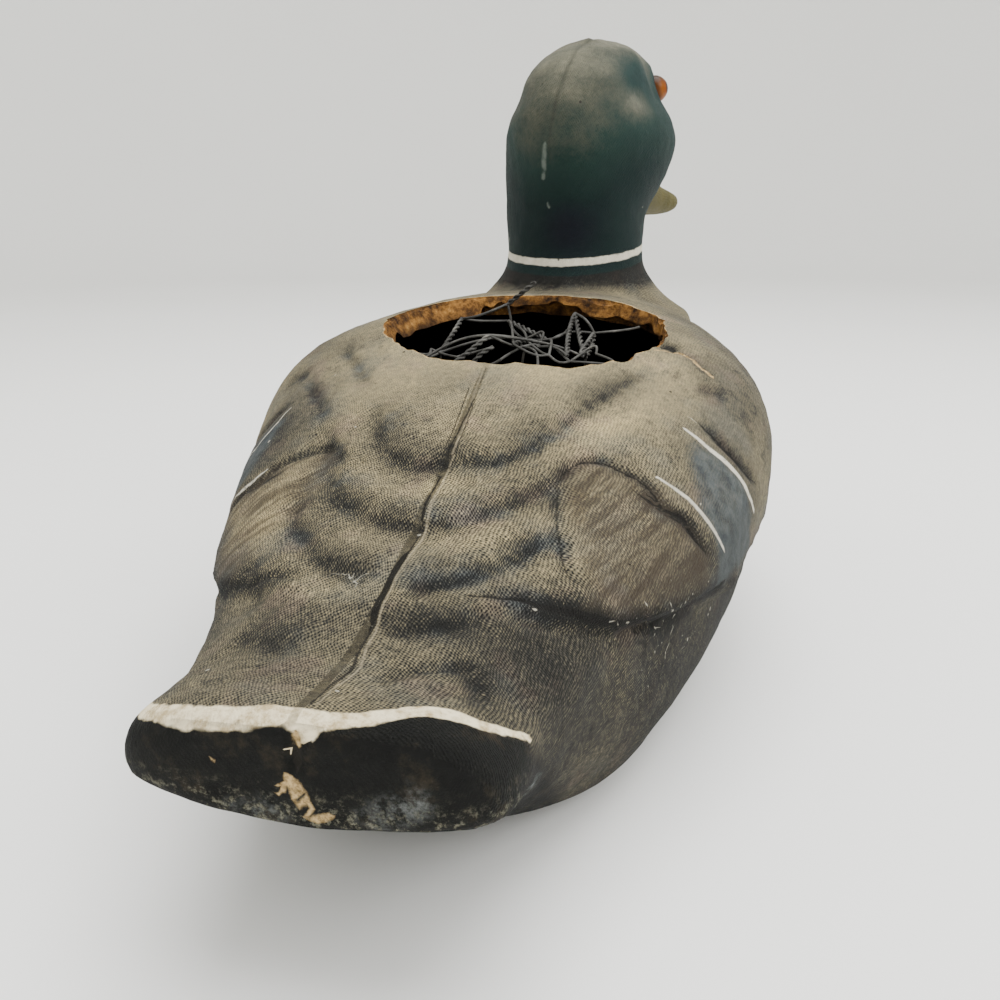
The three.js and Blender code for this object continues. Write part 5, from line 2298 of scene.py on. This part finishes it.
@dataclass
class WireNetting:
    """Crumpled hexagonal netting standing in the hollow; its runs are given from knot to knot."""

    wire: float = 0.38
    lay: float = 0.4
    pitch: float = 4.4
    seed: int = 7
    strand_bow: float = 1.4
    twist_bow: float = 0.5
    strand_steps: int = 14
    turn_steps: int = 12
    knots: dict[str, Point] = field(default_factory=lambda: {
        "rimA": (13.2, 36, 84.5), "a": (4, 23, 92.5), "b": (-2.6, 23, 90.3), "c": (-12.7, 25, 87.9),
        "d": (-18.7, 27, 86.6), "e": (-29, 29, 86.5), "low": (-21.5, 19, 86.5), "rise": (-21.9, 5, 91.4),
        "tipR": (-33.7, -3, 92.4), "post": (-15.2, -3, 96), "left": (21, 27, 86.5), "e0": (18.7, 20, 87),
        "e1": (17, 3, 94.5), "bend": (4, 0, 98.6), "tip": (-4.4, 2, 105), "knot": (-4.5, 15, 90.4),
        "far": (4.2, -1, 93.6), "stray": (-9.8, 9, 89.4), "under1": (20, 14, 64), "under2": (2, 9, 60),
        "under3": (-20, 8, 62), "under4": (-30, 20, 70), "foot1": (24, 2, 34), "foot2": (6, -3, 26),
        "foot3": (-16, 0, 30), "foot4": (-4, 24, 34), "foot5": (-30, 10, 40), "base1": (16, 10, 7.5),
        "base2": (-12, 14, 7.5), "base3": (1, -4, 7.5), "sill": (-17.5, 24.5, 87.7),
        "sill2": (-20.4, 21, 87.8),
        "t1": (7, 29, 85.8), "t2": (2.7, 24, 89.5), "t3": (21.4, 20, 87.9), "t4": (12.3, 26, 86.8),
        "t5": (23.3, 26, 87.4), "k1": (-6, 13, 91.3), "k2": (-8.2, 17, 88.8), "k3": (-4.2, 19, 89),
        "w9": (-10.9, 31, 85.9), "m1": (-0.3, 29, 86.8), "u1": (-24.8, 22, 88.1), "u2": (-29.8, 26, 87),
    })
    twists: str = (
        "rimA-a low-rise post-low e0-e1 bend-tip knot-b under1-under2 under3-under4 foot1-foot2 "
        "foot3-foot4"
    )
    strands: str = (
        "a-b b-c c-d d-e d-low rise-tipR rise-post rimA-left left-e0 e1-bend a-knot knot-far "
        "far-stray far-bend stray-c e0-under1 knot-under2 low-under3 e-under4 under2-under3 "
        "under1-foot1 under2-foot2 under3-foot3 under2-foot4 under4-foot5 foot2-foot3 foot3-foot5 "
        "foot1-base1 foot4-base1 foot3-base2 foot2-base3 a-low knot-post rise-stray b-far e1-far "
        "left-a c-knot e0-knot d-stray t5-t3 t3-t4 k1-k2 k2-k3 k3-k1 k3-w9 t1-m1 m1-k3 sill2-u1 u1-u2 "
        "k2-sill t4-t2"
    )
    stray_twists: str = "post-sill rise-sill2 t1-t2 far-stray"

    def lines(self, first: str, last: str, kind: Wire, bow: Array) -> list[Array]:
        """The centre lines of the wires in one run.

        Args:
            first: the knot it starts at.
            last: the knot it ends at.
            kind: whether the run is a twisted pair or a single wire.
            bow: how far its middle stands off the straight line.

        Returns:
            One line for a strand and two for a twist, in millimetres.
        """
        start, end = np.array(self.knots[first], float), np.array(self.knots[last], float)
        length = np.linalg.norm(end - start)
        way = (end - start) / length
        side = np.cross(way, [0.3, 0.2, 1.0])
        side /= np.linalg.norm(side)
        other = np.cross(way, side)
        winding = max(self.turn_steps, int(length / self.pitch * self.turn_steps))
        steps = self.strand_steps if kind is Wire.STRAND else winding
        t = np.linspace(0, 1, steps)[:, None]
        middle = start + (end - start) * t + bow * np.sin(math.pi * t)
        if kind is Wire.STRAND:
            return [middle]
        angle = 2 * math.pi * t * length / self.pitch
        spread = self.lay * np.minimum(1, 6 * np.minimum(t, 1 - t) + 0.35)
        turn = np.cos(angle) * side + np.sin(angle) * other
        return [middle + spread * turn, middle - spread * turn]

    def build(self) -> Piece:
        """The netting as one mesh of round wires.

        Returns:
            The netting.
        """
        rng = np.random.default_rng(self.seed)
        curve = bpy.data.curves.new("netting", "CURVE")
        curve.dimensions = "3D"
        curve.bevel_depth = self.wire * MM
        curve.bevel_resolution = 2
        curve.use_fill_caps = True
        runs = [(run, Wire.TWIST) for run in self.twists.split()]
        runs += [(run, Wire.STRAND) for run in self.strands.split()]
        runs += [(run, Wire.TWIST) for run in self.stray_twists.split()]
        for run, kind in runs:
            first, last = run.split("-")
            bow = rng.normal(0, 1, 3) * (self.strand_bow if kind is Wire.STRAND else self.twist_bow)
            bow[2] = abs(bow[2]) if "base" in last else bow[2]
            for line in self.lines(first, last, kind, bow):
                spline = curve.splines.new("POLY")
                spline.points.add(len(line) - 1)
                spline.points.foreach_set("co", np.column_stack([line * MM, np.ones(len(line))]).ravel())
        deselect()
        netting = bpy.data.objects.new("wire_netting_twisted", curve)
        bpy.context.scene.collection.objects.link(netting)
        make_active(netting)
        bpy.ops.object.convert(target="MESH")
        netting = bpy.context.object
        netting.data.materials.append(ZincWire().make())
        bpy.ops.object.shade_smooth()
        return netting


@dataclass
class Studio:
    """The plain floor, the soft lights and the camera."""

    eye: Point = (-58.1, 276.2, 125.6)
    forward: tuple[float, float] = (0.2284, -0.9736)
    pitch: float = math.radians(16.95)
    roll: float = math.radians(-0.35)
    lens: float = 34.67
    floor_radius: float = 1.6
    sweep: float = 0.5
    sweep_steps: int = 10
    wall: float = 1.2
    sensor: float = 36.0
    near: float = 0.01
    aim: Point = (0, 0, 0.05)
    lamps: tuple[tuple[str, Point, float, float], ...] = (
        ("soft_overhead", (-0.15, 0.0, 1.1), 1.1, 18), ("soft_side", (-0.9, 0.4, 0.8), 0.8, 8),
    )
    room_colour: tuple[float, float, float, float] = (1.0, 0.992, 0.95, 1.0)
    room_strength: float = 1.14

    def floor(self) -> None:
        """A round pale floor that sweeps up to a wall well behind everything."""
        deselect()
        bpy.ops.mesh.primitive_circle_add(vertices=128, radius=self.floor_radius, fill_type="NGON")
        ground = bpy.context.object
        ground.name = "pale_floor"
        bpy.ops.object.mode_set(mode="EDIT")
        bpy.ops.mesh.select_mode(type="EDGE")
        bpy.ops.mesh.select_all(action="SELECT")
        bpy.ops.mesh.region_to_loop()
        radius, height = self.floor_radius, 0.0
        for k in range(1, self.sweep_steps + 1):
            angle = k / self.sweep_steps * math.pi / 2
            new_radius = self.floor_radius + self.sweep * math.sin(angle)
            new_height = self.sweep * (1 - math.cos(angle))
            self.extrude_ring(new_radius / radius, new_height - height)
            radius, height = new_radius, new_height
        self.extrude_ring(1.0, self.wall)
        bpy.ops.object.mode_set(mode="OBJECT")
        bpy.ops.object.shade_smooth()
        ground.data.materials.append(PaleGround().make())

    @staticmethod
    def extrude_ring(grow: float, lift: float) -> None:
        """Extrudes the selected outer edge outwards and up."""
        bpy.ops.mesh.extrude_edges_move(TRANSFORM_OT_translate={"value": (0, 0, lift)})
        bpy.ops.transform.resize(value=(grow, grow, 1), center_override=(0, 0, 0))

    def light(self, name: str, place: Point, size: float, power: float) -> None:
        """One soft area light.

        Args:
            name: its name.
            place: where it hangs, in metres.
            size: its width.
            power: its power in watts.
        """
        deselect()
        bpy.ops.object.light_add(type="AREA", location=place)
        lamp = bpy.context.object
        lamp.name = name
        lamp.data.shape = "DISK"
        lamp.data.size = size
        lamp.data.energy = power
        lamp.rotation_euler = (Vector(self.aim) - Vector(place)).to_track_quat("-Z", "Y").to_euler()

    def lights(self) -> None:
        """Soft light from above, a weaker one behind and the room's own light."""
        for lamp in self.lamps:
            self.light(*lamp)
        world = bpy.data.worlds.new("pale_room")
        world.use_nodes = True
        background = world.node_tree.nodes["Background"]
        background.inputs["Color"].default_value = self.room_colour
        background.inputs["Strength"].default_value = self.room_strength
        bpy.context.scene.world = world

    def camera(self) -> None:
        """The camera at the photograph's viewing angle."""
        flat = Vector((*self.forward, 0)).normalized()
        look = flat * math.cos(self.pitch) - Vector((0, 0, math.sin(self.pitch)))
        level = look.cross(Vector((0, 0, 1))).normalized()
        upright = level.cross(look)
        right = level * math.cos(self.roll) + upright * math.sin(self.roll)
        up = upright * math.cos(self.roll) - level * math.sin(self.roll)
        deselect()
        bpy.ops.object.camera_add()
        camera = bpy.context.object
        camera.name = "view"
        turn = Matrix((right, up, -look)).transposed().to_4x4()
        camera.matrix_world = Matrix.Translation(Vector(self.eye) * MM) @ turn
        camera.data.lens = self.lens
        camera.data.sensor_width = self.sensor
        camera.data.clip_start = self.near
        bpy.context.scene.camera = camera


def hand_over(piece: Piece, node: str) -> None:
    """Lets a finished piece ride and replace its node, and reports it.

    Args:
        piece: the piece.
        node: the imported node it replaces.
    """
    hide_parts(node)
    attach(piece, ROOT)
    piece.data.calc_loop_triangles()
    LOG.info("%s: %d triangles", piece.name, len(piece.data.loop_triangles))


def main() -> None:
    """Builds the decoy and its studio."""
    logging.basicConfig(level=logging.INFO, format="%(message)s")
    studio = Studio()
    studio.camera()
    studio.floor()
    studio.lights()
    shell = DecoyShell()
    hand_over(shell.build(), "decoy_shell")
    for side in Side:
        hand_over(GlassEye(side, shell).build(), f"eye_{side.name.lower()}")
    hand_over(WireNetting().build(), "wire_netting")
    deselect()


if __name__ == "__main__":
    main()
